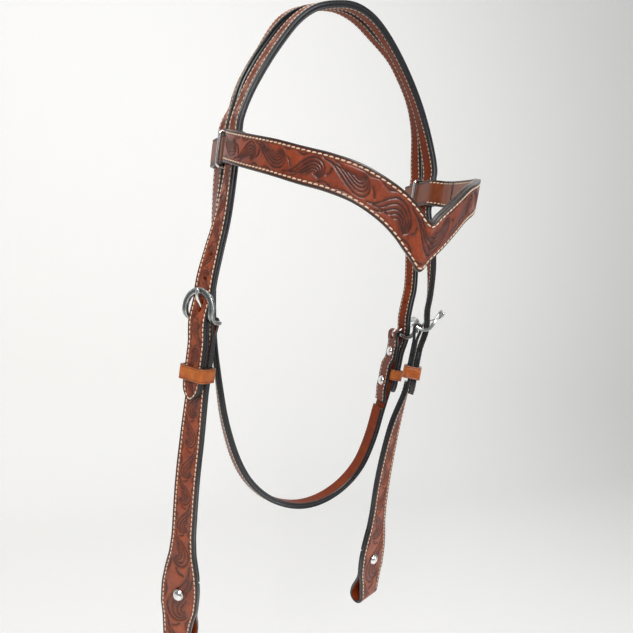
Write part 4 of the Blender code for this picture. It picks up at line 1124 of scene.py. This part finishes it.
def leather_look(name, high, mid, low, rough=(0.30, 0.46), grain=0.5, plain=None, gloss=1.0):
    """Waxed leather: cloudy dye, dark antiquing where the surface is carved, fine grain.

    A plain dye takes over where the mesh's "plain" values say that the leather isn't tooled.
    """
    look = Look(name)
    cloud = look.spread(look.noise(85.0, 4.0, 0.6, 0.4), 0.36, 0.66)
    fleck = look.spread(look.noise(700.0, 3.0, 0.6), 0.40, 0.68)
    colour = look.mix(look.times(cloud, 0.85), mid, high)
    if plain:
        smooth = look.mix(look.times(cloud, 0.85), plain[1], plain[0])
        colour = look.mix(look.attribute("plain"), colour, smooth)
    colour = look.mix(look.times(fleck, 0.28), colour, low)
    carved = look.attribute("tooling")
    uneven = look.times(carved, look.spread(look.noise(260.0), 0.3, 0.7, 0.75, 1.2))
    look.shade(Base_Color=look.mix(look.spread(uneven, 0.0, 0.85), colour, low),
               Roughness=look.combine("ADD", look.spread(cloud, 0.0, 1.0, *rough), look.times(carved, 0.18)),
               Specular_IOR_Level=0.32 * gloss, Coat_Weight=0.22 * gloss, Coat_Roughness=0.16)
    cells = look.node("TexVoronoi", Scale=1500.0, Vector=look.place)
    cells.feature = "DISTANCE_TO_EDGE"
    pores = look.spread(cells.outputs["Distance"], 0.0, 0.12)
    look.bump(look.combine("ADD", pores, look.times(look.noise(420.0, 4.0), 1.6)), 0.06 * MM, grain)
    return look.made


def edge_look(name, dark, worn, share=0.35):
    """Inked and burnished cut edge: nearly black, with fibre showing where it is worn."""
    look = Look(name)
    wear = look.times(look.spread(look.noise(190.0, 5.0, 0.65), 0.45, 0.75), share)
    look.shade(Base_Color=look.mix(wear, dark, worn), Coat_Weight=0.35, Coat_Roughness=0.12,
               Roughness=look.spread(look.noise(330.0), 0.3, 0.7, 0.24, 0.42))
    look.bump(look.noise(620.0, 4.0, 0.7), 0.12 * MM, 0.5)
    return look.made


def thread_look(name, light, soiled):
    """Waxed cream thread, darker where dye has crept in, with its twist."""
    look = Look(name)
    dirt = look.times(look.spread(look.noise(300.0, 4.0, 0.6), 0.45, 0.75), 0.6)
    look.shade(Base_Color=look.mix(dirt, light, soiled), Roughness=0.62, Sheen_Weight=0.15)
    look.bump(look.node("TexWave", Scale=900.0, Distortion=2.0, Vector=look.place).outputs["Fac"], 0.08 * MM, 0.5)
    return look.made


def metal_look(name, bright, dull, rough, wear=0.6):
    """Cast or drawn metal: dull film, brighter rubbed spots, fine scratches, and painted shade in a buckle's channel.
    """
    look = Look(name)
    film = look.spread(look.noise(240.0, 5.0, 0.6, 0.6), 0.38, 0.64)
    colour = look.mix(look.times(film, wear), bright, dull)
    # Painted shade: a buckle's channel, from its 'tooling' values, is mixed towards the dull colour
    painted_channel_shade = look.spread(look.attribute("tooling"), 0.0, 1.0, 0.0, 0.85)
    look.shade(Base_Color=look.mix(painted_channel_shade, colour, dull), Metallic=1.0,
               Roughness=look.spread(film, 0.0, 1.0, *rough))
    look.bump(look.noise(1400.0, 5.0, 0.7), 0.02 * MM, 0.35)
    return look.made


def make_materials():
    return {
        "tooled": leather_look("tooled_leather_look", (0.41, 0.085, 0.021), (0.235, 0.035, 0.009),
                               (0.020, 0.006, 0.004), gloss=1.25),
        "smooth": leather_look("strap_leather_look", (0.24, 0.040, 0.011), (0.15, 0.020, 0.006),
                               (0.022, 0.006, 0.004), gloss=0.5),
        "lining": leather_look("crown_lining_look", (0.29, 0.050, 0.011), (0.19, 0.028, 0.006),
                               (0.02, 0.005, 0.004), (0.42, 0.58), 0.35, gloss=0.12),
        "amber": leather_look("browband_lining_look", (0.30, 0.072, 0.010), (0.185, 0.034, 0.005),
                              (0.05, 0.014, 0.006), (0.28, 0.42), 0.4),
        "keeper": leather_look("keeper_look", (0.58, 0.17, 0.028), (0.40, 0.090, 0.014),
                               (0.10, 0.02, 0.006), (0.26, 0.4), 0.4),
        "edge": edge_look("edge_ink_look", (0.0045, 0.0055, 0.0075), (0.030, 0.015, 0.010), 0.2),
        "brow_edge": edge_look("browband_edge_look", (0.020, 0.013, 0.008), (0.07, 0.032, 0.014), 0.5),
        "tan_edge": edge_look("keeper_edge_look", (0.10, 0.028, 0.008), (0.24, 0.08, 0.02)),
        "thread": thread_look("cream_thread_look", (0.78, 0.63, 0.46), (0.40, 0.23, 0.12)),
        # Pewter of the buckles, which also carries the painted shade in their channels
        "pewter": metal_look("antique_silver_and_painted_shade_look", (0.66, 0.68, 0.66), (0.15, 0.17, 0.165), (0.20, 0.36)),
        "silver": metal_look("screw_silver_look", (0.86, 0.85, 0.83), (0.42, 0.42, 0.41), (0.12, 0.24), 0.3),
        "nickel": metal_look("nickel_wire_look", (0.78, 0.77, 0.75), (0.34, 0.34, 0.34), (0.10, 0.22), 0.35),
        "brow": leather_look("browband_look", (0.38, 0.068, 0.017), (0.21, 0.028, 0.008), (0.022, 0.007, 0.005),
                             plain=((0.25, 0.056, 0.009), (0.155, 0.028, 0.005))),
    }


# Pieces

def layer_rows(frames, widths):
    return [f.edges(width) for f, width in zip(frames, np.broadcast_to(widths, len(frames)))]


def facing_in(rows):
    """The same rows with their face on the other side."""
    return [(b, a, -np.array(out)) for a, b, out in rows]


def punch(piece, cutters):
    """Cut holes and apply the cuts."""
    for shape in cutters:
        step = piece.modifiers.new("hole", "BOOLEAN")
        step.operation = "DIFFERENCE"
        step.solver = "EXACT"
        step.object = shape
    bpy.context.view_layer.update()
    evaluated = piece.evaluated_get(bpy.context.evaluated_depsgraph_get())
    mesh = bpy.data.meshes.new_from_object(evaluated)
    piece.modifiers.clear()
    piece.data = mesh


def discard(shapes):
    for shape in shapes:
        bpy.data.objects.remove(shape)


def dress(piece, body, slot, *nodes):
    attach(piece, body)
    if nodes:
        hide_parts(*nodes)


def leather_layer(name, ribbon, relief, look, *nodes, cutters=(), seams=((0.0, math.inf),),
                  body="headstall", spare=seam_fill, spread=None):
    """One layer of leather with its holes and its thread, riding its body."""
    materials, slot, grain = look
    piece = layer_object(name, ribbon, half_layer, half_layer + spare, relief, [made[part] for part in materials],
                         grain, spread=spread)
    if cutters:
        punch(piece, cutters)
    dress(piece, body, slot, *nodes)
    if seams:
        stitches("stitches_" + name.removesuffix("_outer").removesuffix("_strap"),
                 [line for seam in seams for line in stitch_lines(ribbon, *seam)], body, slot)
    return piece


def crown_strap_rows(frames, left, right, throat_right, n):
    """Rows of the front strap with its billets, and of the rear strap with the throat billet."""
    rows = crown_rows(frames, n - strap)
    outs = [f.outward for f in frames]
    front = billet_rows(left, left_bar_z, n)[::-1]
    front += [(row[0], row[1], out) for row, out in zip(rows, outs)] + billet_rows(right, right_bar_z, n)
    start, end = rear_start(rows)
    rear = [(*end, outs[start])] + [(row[2], row[3], out) for row, out in zip(rows[start:], outs[start:])]
    rear += billet_rows(throat_right, throat_bar_z, n)
    return (front, rows[highest(frames)][0]), (rear, max((row[0] for row in rear), key=lambda point: point[2]))


def join_over_top(apex, edge):
    """Widening of one edge that closes the slot between the crown's straps over the top of the head."""
    def spread(ribbon):
        here = ribbon.distance[int(np.argmin(np.linalg.norm(ribbon.left - apex, axis=1)))]
        inside = np.clip((crown_joined_half - np.abs(ribbon.distance - here)) / slot_end, 0.0, 1.0)
        grow = np.zeros((len(ribbon.distance), 2))
        grow[:, edge] = np.sqrt(inside) * crown_slot / 2.0
        return grow
    return spread


def build_crown_looks(frames, left, right, throat_right):
    """Both straps of the crown, each with a tooled outer layer and a smooth stitched lining."""
    cutters = hole_cutters()
    for kind, n in (("outer", outer_layer_n), ("lining", inner_layer_n)):
        halves = crown_strap_rows(frames, left, right, throat_right, n)
        for name, phase, (rows, apex), edge in zip(("front", "rear"), CROWN_PHASES, halves, (1, 0)):
            nodes = [f"crown_{kind}"] if name == "front" else []
            ribbon, relief, look = Ribbon(facing_in(rows), lining_step), edge_relief, LINED
            if kind == "outer":
                ribbon, look = Ribbon(rows, sheet_step), TOOLED
                relief = tooled_relief(made["strap_cell"], phase, strength=strap_tooling_share)
            leather_layer(f"crown_{name}_{kind}", ribbon, relief, look, *nodes, cutters=cutters,
                          seams=((0.0, ribbon.length - tip_clear),),
                          spread=join_over_top(apex, edge if kind == "outer" else 1 - edge))
    discard(cutters)


def hole_cutters():
    """Cutters for the holes in the three billets: the one in use and the spare ones."""
    cutters = []
    for side, line, bar_z, width, swing in buckles:
        cutters.append(billet_hole(f"hole_{side}", bar_matrix(line, bar_z, swing), width))
        for number in range(1, spare_holes + 1):
            place = frame_at(line, bar_z + hole_spacing * (number + spare_hole_share))
            cutters.append(cutter(f"spare_{side}_{number}", local_matrix(place), (0.0, 0.0, strap / 2.0),
                                  radius=hole_width / 2.0, height=strap * 5.0))
    return cutters


def build_cheek_looks(side, frames, bar_z):
    line = frames_between(frames, bar_z, bar_z - dome_below_bar - leaf_below_dome)
    line = resample(line, fold_taper, leaf_step)
    travelled = distance_along(line)
    widths = cheek_widths(travelled, travelled[-1])
    front, turn, back = fold_frames(line, fold_length, lambda d: 0.0)
    lower, lower_widths = bit_fold(line, widths)
    path = back[::-1] + turn[::-1] + front + lower
    ribbon = Ribbon(layer_rows(path, [cheek_width] * len(turn + back) + widths + lower_widths), sheet_step)
    fold, loop = distance_along(path)[[len(back + turn), len(back + turn + front) - 1]]
    cutters = [bar_slot(f"slot_{side}", frame_at(frames, bar_z)),
               screw_hole(f"screw_{side}", frame_at(frames, bar_z - dome_below_bar))]
    relief = tooled_relief(made["strap_cell"], CHEEK_PHASES[side], fold + tool_from_fold, loop + tool_past_loop,
                           strap_tooling_share)
    leather_layer(f"cheek_{side}_strap", ribbon, relief, TOOLED, f"cheek_{side}_outer", cutters=cutters,
                  seams=((fold, loop),))
    discard(cutters)
    lining_end = travelled[-1] - leaf_below_dome - bit_fold_above_dome - gap * 2.0
    inside = [(f, w) for f, w, d in zip(line, widths, travelled) if fold_length + gap * 2.0 < d < lining_end]
    leather_layer(f"cheek_{side}_backing", lining_ribbon(*zip(*inside)), edge_relief, LINED,
                  f"cheek_{side}_lining")


def lining_ribbon(frames, widths):
    """The layer behind a strap's outer one, facing in."""
    return Ribbon(facing_in(layer_rows([f.lifted(half_layer - strap) for f in frames], widths)), lining_step)


def build_throat_looks(frames, right_line):
    line = resample(frames[::-1], throat_fold_length, throat_step)
    front, turn, back = fold_frames(line, throat_fold_length, keeper_room)
    path = front[::-1] + turn + back
    ribbon = Ribbon(layer_rows(path, billet_width), lining_step / 2.0)
    cutters = [bar_slot("slot_throat", frame_at(right_line, throat_bar_z))]
    for number, below in enumerate((throat_screw_upper, throat_screw_lower), 1):
        place = frame_at(right_line, throat_bar_z - below)
        cutters += [screw_hole(f"screw_throat_{number}", place),
                    cutter(f"seat_{number}", local_matrix(place), (0.0, 0.0, 0.0),
                           radius=post_head_radius + gap, height=(post_head_height + gap) * 2.0)]
    bar_at = distance_along(path)[len(front) - 1]
    leather_layer("throatlatch_strap", ribbon, edge_relief, SMOOTH, "throatlatch_outer", cutters=cutters,
                  seams=((0.0, bar_at - seam_before_bar), (bar_at + seam_after_bar, math.inf)))
    discard(cutters)
    inside = [f for f, d in zip(line, distance_along(line)) if d > throat_fold_length + gap * 2.0]
    leather_layer("throatlatch_backing", lining_ribbon(inside, billet_width), None, LINED, "throatlatch_lining",
                  seams=())


def build_browband_looks(left, right):
    left_arm, right_arm = brow_plan(left, right)
    ends = []
    for f, arm, side in ((left, left_arm, -1.0), (right, right_arm[::-1], 1.0)):
        loop = brow_loop(f)
        ends.append(loop + inner_end(arm, side, loop[-1]))
    middle = np.vstack([left_arm, right_arm])
    path = np.array(ends[0][::-1] + list(middle) + ends[1])
    ribbon = Ribbon([(p - up, p + up, out) for p, up, out in zip(path, brow_halves(path), plan_normals(path))],
                    sheet_step)
    start, end = lengths_along(path)[[len(ends[0]), len(ends[0]) + len(middle) - 1]]
    untooled = browband_plain * untooled_share
    relief = tooled_relief(made["brow_cell"], BROW_PHASE, start + untooled, end - untooled)
    outer = leather_layer("browband_strap", ribbon, relief, BROW, "browband_outer", body="browband", spare=0.0,
                          seams=((start, end), (0.0, inner_run), (ribbon.length - inner_run, math.inf)))
    from_end = np.minimum(ribbon.distance - start, end - ribbon.distance) + plain_past_end
    amber = np.clip(1.0 - from_end / browband_plain, 0.0, 1.0)
    store(outer, "plain", np.repeat(amber, len(outer.data.vertices) // len(amber)))
    inside = brow_lining_rows(middle)
    outs = plan_normals([(a + b) / 2.0 for a, b in inside])
    ribbon = Ribbon(facing_in([(*pair, out) for pair, out in zip(inside, outs)]), lining_step)
    leather_layer("browband_backing", ribbon, edge_relief, AMBER, "browband_lining", body="browband",
                  spare=seam_fill * 2.0)


# Metal and small leather

def sweep(points, radii, closed=False):
    """Round bar along points, with its ends drawn in by the radii."""
    points = np.array(points, float)
    along = np.gradient(points, axis=0)
    if closed:
        along = np.roll(points, -1, axis=0) - np.roll(points, 1, axis=0)
    side = unit(np.cross(along[0], (0.3, 0.5, 0.81)))
    rings = []
    for p, t, r in zip(points, along, radii):
        t = unit(t)
        side = unit(side - t * np.dot(side, t))
        other = np.cross(t, side)
        rings += [p + r * turned(side, other, a) for a in angles_round(tube_sides)]
    return rings, ring_faces(len(points), tube_sides, closed)


def angles_round(count):
    return np.linspace(0.0, 2.0 * math.pi, count, endpoint=False)


def metal_piece(name, shape, material, body, *nodes):
    """A piece from its points and faces."""
    slot = "nickel_wire" if material == "nickel" else "antique_silver"
    dress(mesh_object(name, *shape, [made[material]]), body, slot, *nodes)


def transformed(points, matrix):
    return [np.array(matrix @ Vector(p)) for p in points]


def turned_rows(rows, matrix):
    spin = matrix.to_3x3()
    return [(*transformed((a, b), matrix), np.array(spin @ Vector(out))) for a, b, out in rows]


def buckle_rows(strap_width, heel_half):
    """Edge rows of a buckle's horseshoe in its own axes: across, up the strap, out."""
    half, _, arch = buckle_sizes(strap_width)
    leg = arch - buckle_bend
    bent = leg + buckle_bend * math.pi / 2.0
    centre = bent + buckle_straight - buckle_bend
    flanks = []
    for run in (-buckle_heel, 0.0, *(leg + buckle_bend * np.linspace(0.0, math.pi / 2.0, 7))):
        open_share = ramp(run, 0.0, bent)
        middle = heel_half + (half - heel_half) * open_share
        side = (buckle_heel_band + (buckle_band - buckle_heel_band) * open_share) / 2.0
        flanks.append([(middle + side, run), (middle - side, run)])
    arc = [[(radius * math.cos(a), centre + radius * math.sin(a))
            for radius in (half + buckle_band / 2.0, half - buckle_band / 2.0)]
           for a in np.linspace(0.0, math.pi, 19)]
    mirrored = [[(-x, run) for x, run in row] for row in flanks[::-1]]
    rows = []
    for row in flanks + arc + mirrored:
        edges = [np.array((x, *buckle_side(run, arch))) for x, run in row]
        run = (row[0][1] + row[1][1]) / 2.0
        low, high = (np.array(buckle_side(run + d, arch)) for d in (-0.1 * MM, 0.1 * MM))
        climb = unit(high - low)
        rows.append((*edges, np.array((0.0, -climb[1], climb[0]))))
    return rows


def channel_relief(distance, across, width):
    """Shallow channel between a buckle's rims, with painted shade in it so that the rims read as bright."""
    inside = np.clip((width / 2.0 - np.abs(across) - channel_rim) / channel_slope, 0.0, 1.0)
    return -buckle_channel * inside, channel_painted_shade * inside


def crease_relief(distance, across, width):
    """Line creased along both edges of a keeper."""
    from_edge = width / 2.0 - np.abs(across)
    line = np.exp(-((from_edge - crease_inset) / crease_width) ** 2)
    return -keeper_crease * line, crease_dark * line


def build_buckle_looks(side, line, bar_z, strap_width, swing):
    matrix = bar_matrix(line, bar_z, swing)
    heel_half = strap_width / 2.0 + gap + buckle_heel_band / 2.0
    ribbon = Ribbon(turned_rows(buckle_rows(strap_width, heel_half), matrix), metal_step)
    half = buckle_thickness / 2.0
    hoop = layer_object(f"buckle_{side}_hoop", ribbon, half, half, channel_relief, [made["pewter"]] * 3,
                        metal_step, rounding=buckle_round)
    dress(hoop, f"buckle_{side}", "antique_silver", f"buckle_{side}_frame")
    reach = heel_half + buckle_heel_band / 2.0 - bar_sunk
    bar = transformed([(x * reach, 0.0, 0.0) for x in (-1.0, -0.97, 0.97, 1.0)], matrix)
    metal_piece(f"buckle_{side}_bar", sweep(bar, [bar_radius * share for share in (0.7, 1.0, 1.0, 0.7)]),
                "pewter", f"buckle_{side}")
    turn, hole, tip = tongue_points(strap_width)
    climb = smooth_rows([(0.0, *point) for point in turn[-1:] + hole + tip], 0.8 * MM)
    ring = smooth_rows([(0.0, *point) for point in turn], 0.6 * MM)
    pin = np.vstack([ring, climb[1:]])
    from_tip = lengths_along(pin[::-1])[::-1]
    radii = tongue_radius * np.sqrt(np.clip(1.0 - np.clip(1.0 - from_tip / tongue_radius, 0.0, 1.0) ** 2, 0.06, 1.0))
    metal_piece(f"buckle_{side}_pin", sweep(transformed(pin, matrix), radii), "silver", f"tongue_{side}",
                f"buckle_{side}_tongue")


def rounded_rectangle(half_x, half_y, corner, steps, side_shares=()):
    """Points round a rectangle with their outward directions, also at some shares of each side."""
    points = []
    for quarter, signs in enumerate(((1, 1), (-1, 1), (-1, -1), (1, -1))):
        here, after = (np.array((x * (half_x - corner), y * (half_y - corner)))
                       for x, y in (signs, (-signs[1], signs[0])))
        for share in np.linspace(0.0, 1.0, steps):
            angle = (quarter + share) * math.pi / 2.0
            out = np.array((math.cos(angle), math.sin(angle)))
            points.append((here + corner * out, out))
        points += [(here + (after - here) * share + corner * out, out) for share in side_shares]
    return points


def build_ring_looks(side, f):
    half_n = strap / 2.0 + layer + loop_clearance + ring_clearance + wire_radius
    half_z = browband_height / 2.0 + ring_clearance + wire_radius
    centre = np.array((*f.at(billet_centre + crown_slot / 2.0, strap / 2.0)[:2], browband_z))
    flat = unit((*f.outward[:2], 0.0))
    line = [centre + flat * n + np.array((0.0, 0.0, z))
            for (n, z), _ in rounded_rectangle(half_n, half_z, ring_corner, 9)]
    metal_piece(f"ring_{side}_wire", sweep(line, [wire_radius] * len(line), closed=True), "nickel",
                f"ring_{side}", f"browband_ring_{side}")


def build_keeper_looks(side, f, strap_width, under, height):
    low = -under - keeper_clearance
    high = gap + strap + keeper_clearance
    half_w = strap_width / 2.0 + keeper_clearance + keeper_wall / 2.0
    half_h = (high - low) / 2.0 + keeper_wall / 2.0
    matrix = local_matrix(f) @ Matrix.Translation((0.0, 0.0, (low + high) / 2.0))
    outline = rounded_rectangle(half_w, half_h, keeper_corner + keeper_wall / 2.0, 6, (0.33, 0.67))
    rows = [((x, -height / 2.0, z), (x, height / 2.0, z), (out[0], 0.0, out[1])) for (x, z), out in outline]
    loop = layer_object(f"keeper_{side}_loop", Ribbon(turned_rows(rows, matrix), metal_step, closed=True),
                        keeper_wall / 2.0, keeper_wall / 2.0, crease_relief,
                        [made["keeper"], made["tan_edge"], made["tan_edge"]], metal_step, rounding=keeper_round)
    dress(loop, f"keeper_{side}", "keeper_leather", f"keeper_{side}")


def lathe(profile, matrix):
    """Profile of radius and height turned round the axis, closed at the axis."""
    points = [(r * math.cos(a), r * math.sin(a), z) for r, z in profile for a in angles_round(turned_steps)]
    return transformed(points, matrix), ring_faces(len(profile), turned_steps)


def build_screw_looks(name, f, depth, sunk=False):
    """Dome and post of a two-part screw; a sunk one has its dome inside the fold."""
    matrix = local_matrix(f)
    if sunk:
        matrix = matrix @ Matrix.Translation((0.0, 0.0, -depth - gap)) @ Matrix.Rotation(math.pi, 4, "X")
        through = depth + gap - post_head_height
    else:
        matrix = matrix @ Matrix.Translation((0.0, 0.0, gap))
        through = depth + gap * 2.0
    shank_end = -through * shank_length_share
    floor = -through - post_floor
    dome = [(axis_radius, dome_height)]
    dome += [(dome_radius * 0.94 * math.sin(a), dome_rim + (dome_height - dome_rim) * math.cos(a))
             for a in np.radians(range(10, 91, 10))]
    dome += [(dome_radius * 0.965, dome_rim * 6 / 7), (dome_radius, dome_rim * 4 / 7), (dome_radius, -gap / 2.0),
             (shank_radius, -gap / 2.0), (shank_radius, shank_end), (axis_radius, shank_end)]
    post = [(axis_radius, floor), (barrel_bore, floor), (barrel_bore, -gap * 2.0), (barrel_radius, -gap * 2.0)]
    post += [(radius, -through - below) for radius, below in (
        (barrel_radius, 0.0), (post_head_radius * 0.97, 0.0), (post_head_radius, 0.15 * MM),
        (post_head_radius, post_edge_height * 0.8), (post_head_radius * 0.9, post_head_height * 0.9),
        (post_face_radius, post_head_height), (axis_radius, post_head_height))]
    metal_piece(name + "_cap", lathe(dome, matrix), "silver", "headstall", name + "_dome")
    metal_piece(name + "_barrel", lathe(post, matrix), "silver", "headstall", name + "_post")


# Camera, light and room

def build_camera():
    yaw, pitch, roll = (math.radians(a) for a in (camera_yaw, camera_pitch, camera_roll))
    data = bpy.data.cameras.new("camera")
    data.sensor_width = sensor_width
    data.lens = focal_pixels / IMAGE_SIDE * sensor_width
    data.shift_x = (IMAGE_SIDE / 2.0 - principal_x) / IMAGE_SIDE
    data.clip_start = 0.01
    camera = linked(bpy.data.objects.new("camera", data))
    camera.matrix_world = (
        Matrix.Translation(np.array(camera_place) + PLACE) @ Matrix.Rotation(-yaw, 4, "Z")
        @ Matrix.Rotation(math.pi / 2.0 + pitch, 4, "X") @ Matrix.Rotation(roll, 4, "Z"))
    bpy.context.scene.camera = camera


def paper_look(name, colour):
    """Pale matt studio paper, paler still to the camera and in what metal mirrors."""
    look = Look(name)
    rays = look.node("LightPath")
    seen = look.combine("MAXIMUM", rays.outputs["Is Camera Ray"], rays.outputs["Is Glossy Ray"])
    look.shade(Emission_Strength=look.times(seen, backdrop_lift), Emission_Color=colour, Base_Color=colour,
               Roughness=0.9, Specular_IOR_Level=0.1)
    return look.made


def build_room():
    """Pale wall far behind and a pale floor below, meeting in one curved sweep."""
    y = cad_box[1][1] + wall_behind
    floor = cad_box[0][2] - floor_below
    profile = [(-3.0, floor)]
    profile += [(y - room_bend + room_bend * math.sin(a), floor + room_bend * (1.0 - math.cos(a)))
                for a in np.linspace(0.0, math.pi / 2.0, 12)]
    profile += [(y, 2.5)]
    mesh = bpy.data.meshes.new("room_sweep")
    points = [(x, py, pz) for py, pz in profile for x in (-4.0, 4.0)]
    faces = [(2 * i, 2 * i + 1, 2 * i + 3, 2 * i + 2) for i in range(len(profile) - 1)]
    mesh.from_pydata(points, [], faces)
    mesh.materials.append(paper_look("studio_paper", (0.84, 0.83, 0.81)))
    mesh.shade_smooth()
    linked(bpy.data.objects.new("room_sweep", mesh))


def area_light(name, place, size, power, colour):
    """A rectangular lamp that looks at the middle of the headstall."""
    data = bpy.data.lights.new(name, "AREA")
    data.shape = "RECTANGLE"
    data.size, data.size_y = size
    data.energy = power
    data.color = colour
    lamp = linked(bpy.data.objects.new(name, data))
    lamp.location = place
    lamp.rotation_euler = (Vector(lamp_target) - Vector(place)).to_track_quat("-Z", "Y").to_euler()


def build_lights():
    area_light("key", (-0.9, -1.6, 1.0), (0.8, 0.6), 36.0, (1.0, 0.985, 0.96))
    area_light("fill", (1.5, -1.2, 0.1), (0.9, 1.2), 11.0, (0.95, 0.97, 1.0))
    area_light("top", (-0.2, -0.3, 1.5), (1.4, 1.0), 14.0, (0.97, 0.98, 1.0))
    world = bpy.data.worlds.new("studio")
    world.use_nodes = True
    tree = world.node_tree
    background = tree.nodes["Background"]
    background.inputs["Color"].default_value = (0.86, 0.90, 0.95, 1.0)
    rays = tree.nodes.new("ShaderNodeLightPath")
    strength = tree.nodes.new("ShaderNodeMapRange")
    strength.inputs["To Min"].default_value = world_strength
    strength.inputs["To Max"].default_value = world_seen
    tree.links.new(rays.outputs["Is Camera Ray"], strength.inputs["Value"])
    tree.links.new(strength.outputs["Result"], background.inputs["Strength"])
    bpy.context.scene.world = world


bpy.context.scene.view_settings.view_transform = "Standard"
made = make_materials()
made["brow_cell"] = carve_cell(BROW_LOBE_SHARES, brow_cut_width)
made["strap_cell"] = carve_cell(STRAP_LOBE_SHARES, strap_cut_width)
left = line_frames(side_rows(*LEFT_LINE), -1.0)
right = line_frames(side_rows(*RIGHT_LINE), 1.0)
throat_right = line_frames(side_rows(*THROAT_LINE, pieces=6), 1.0)
crown = crown_frames(left, right)
PLACE = -max(crown, key=lambda f: f.point[2]).at(crown_width / 2.0, -strap)
buckles = (("left", left, left_bar_z, cheek_width, 0.0), ("right", right, right_bar_z, cheek_width, right_swing),
           ("throat", throat_right, throat_bar_z, billet_width, throat_swing))
build_camera()
build_crown_looks(crown, left, right, throat_right)
loop_left, loop_right = frame_at(left, 0.0), frame_at(right, 0.0)
build_throat_looks(throat_frames(loop_left.at(throat_offset, strap), throat_right), throat_right)
for side, line, bar_z, _, _ in buckles[:2]:
    build_cheek_looks(side, line, bar_z)
build_browband_looks(loop_left, loop_right)
build_ring_looks("left", loop_left)
build_ring_looks("right", loop_right)
for buckle in buckles:
    build_buckle_looks(*buckle)
for side, line, bar_z, _, _ in buckles[:2]:
    build_keeper_looks(side, frame_at(line, bar_z - keeper_below_bar), cheek_width, strap, keeper_height)
    build_screw_looks(f"bit_screw_{side}", frame_at(line, bar_z - dome_below_bar), strap)
upper, middle, lower = (frame_at(throat_right, throat_bar_z - below)
                        for below in (throat_screw_upper, throat_keeper_below_bar, throat_screw_lower))
build_screw_looks("throat_screw_1", upper, strap, sunk=True)
build_keeper_looks("throat", middle, billet_width, layer, throat_keeper_height)
build_screw_looks("throat_screw_2", lower, layer * 2.0 + throat_under_keeper, sunk=True)
build_room()
build_lights()
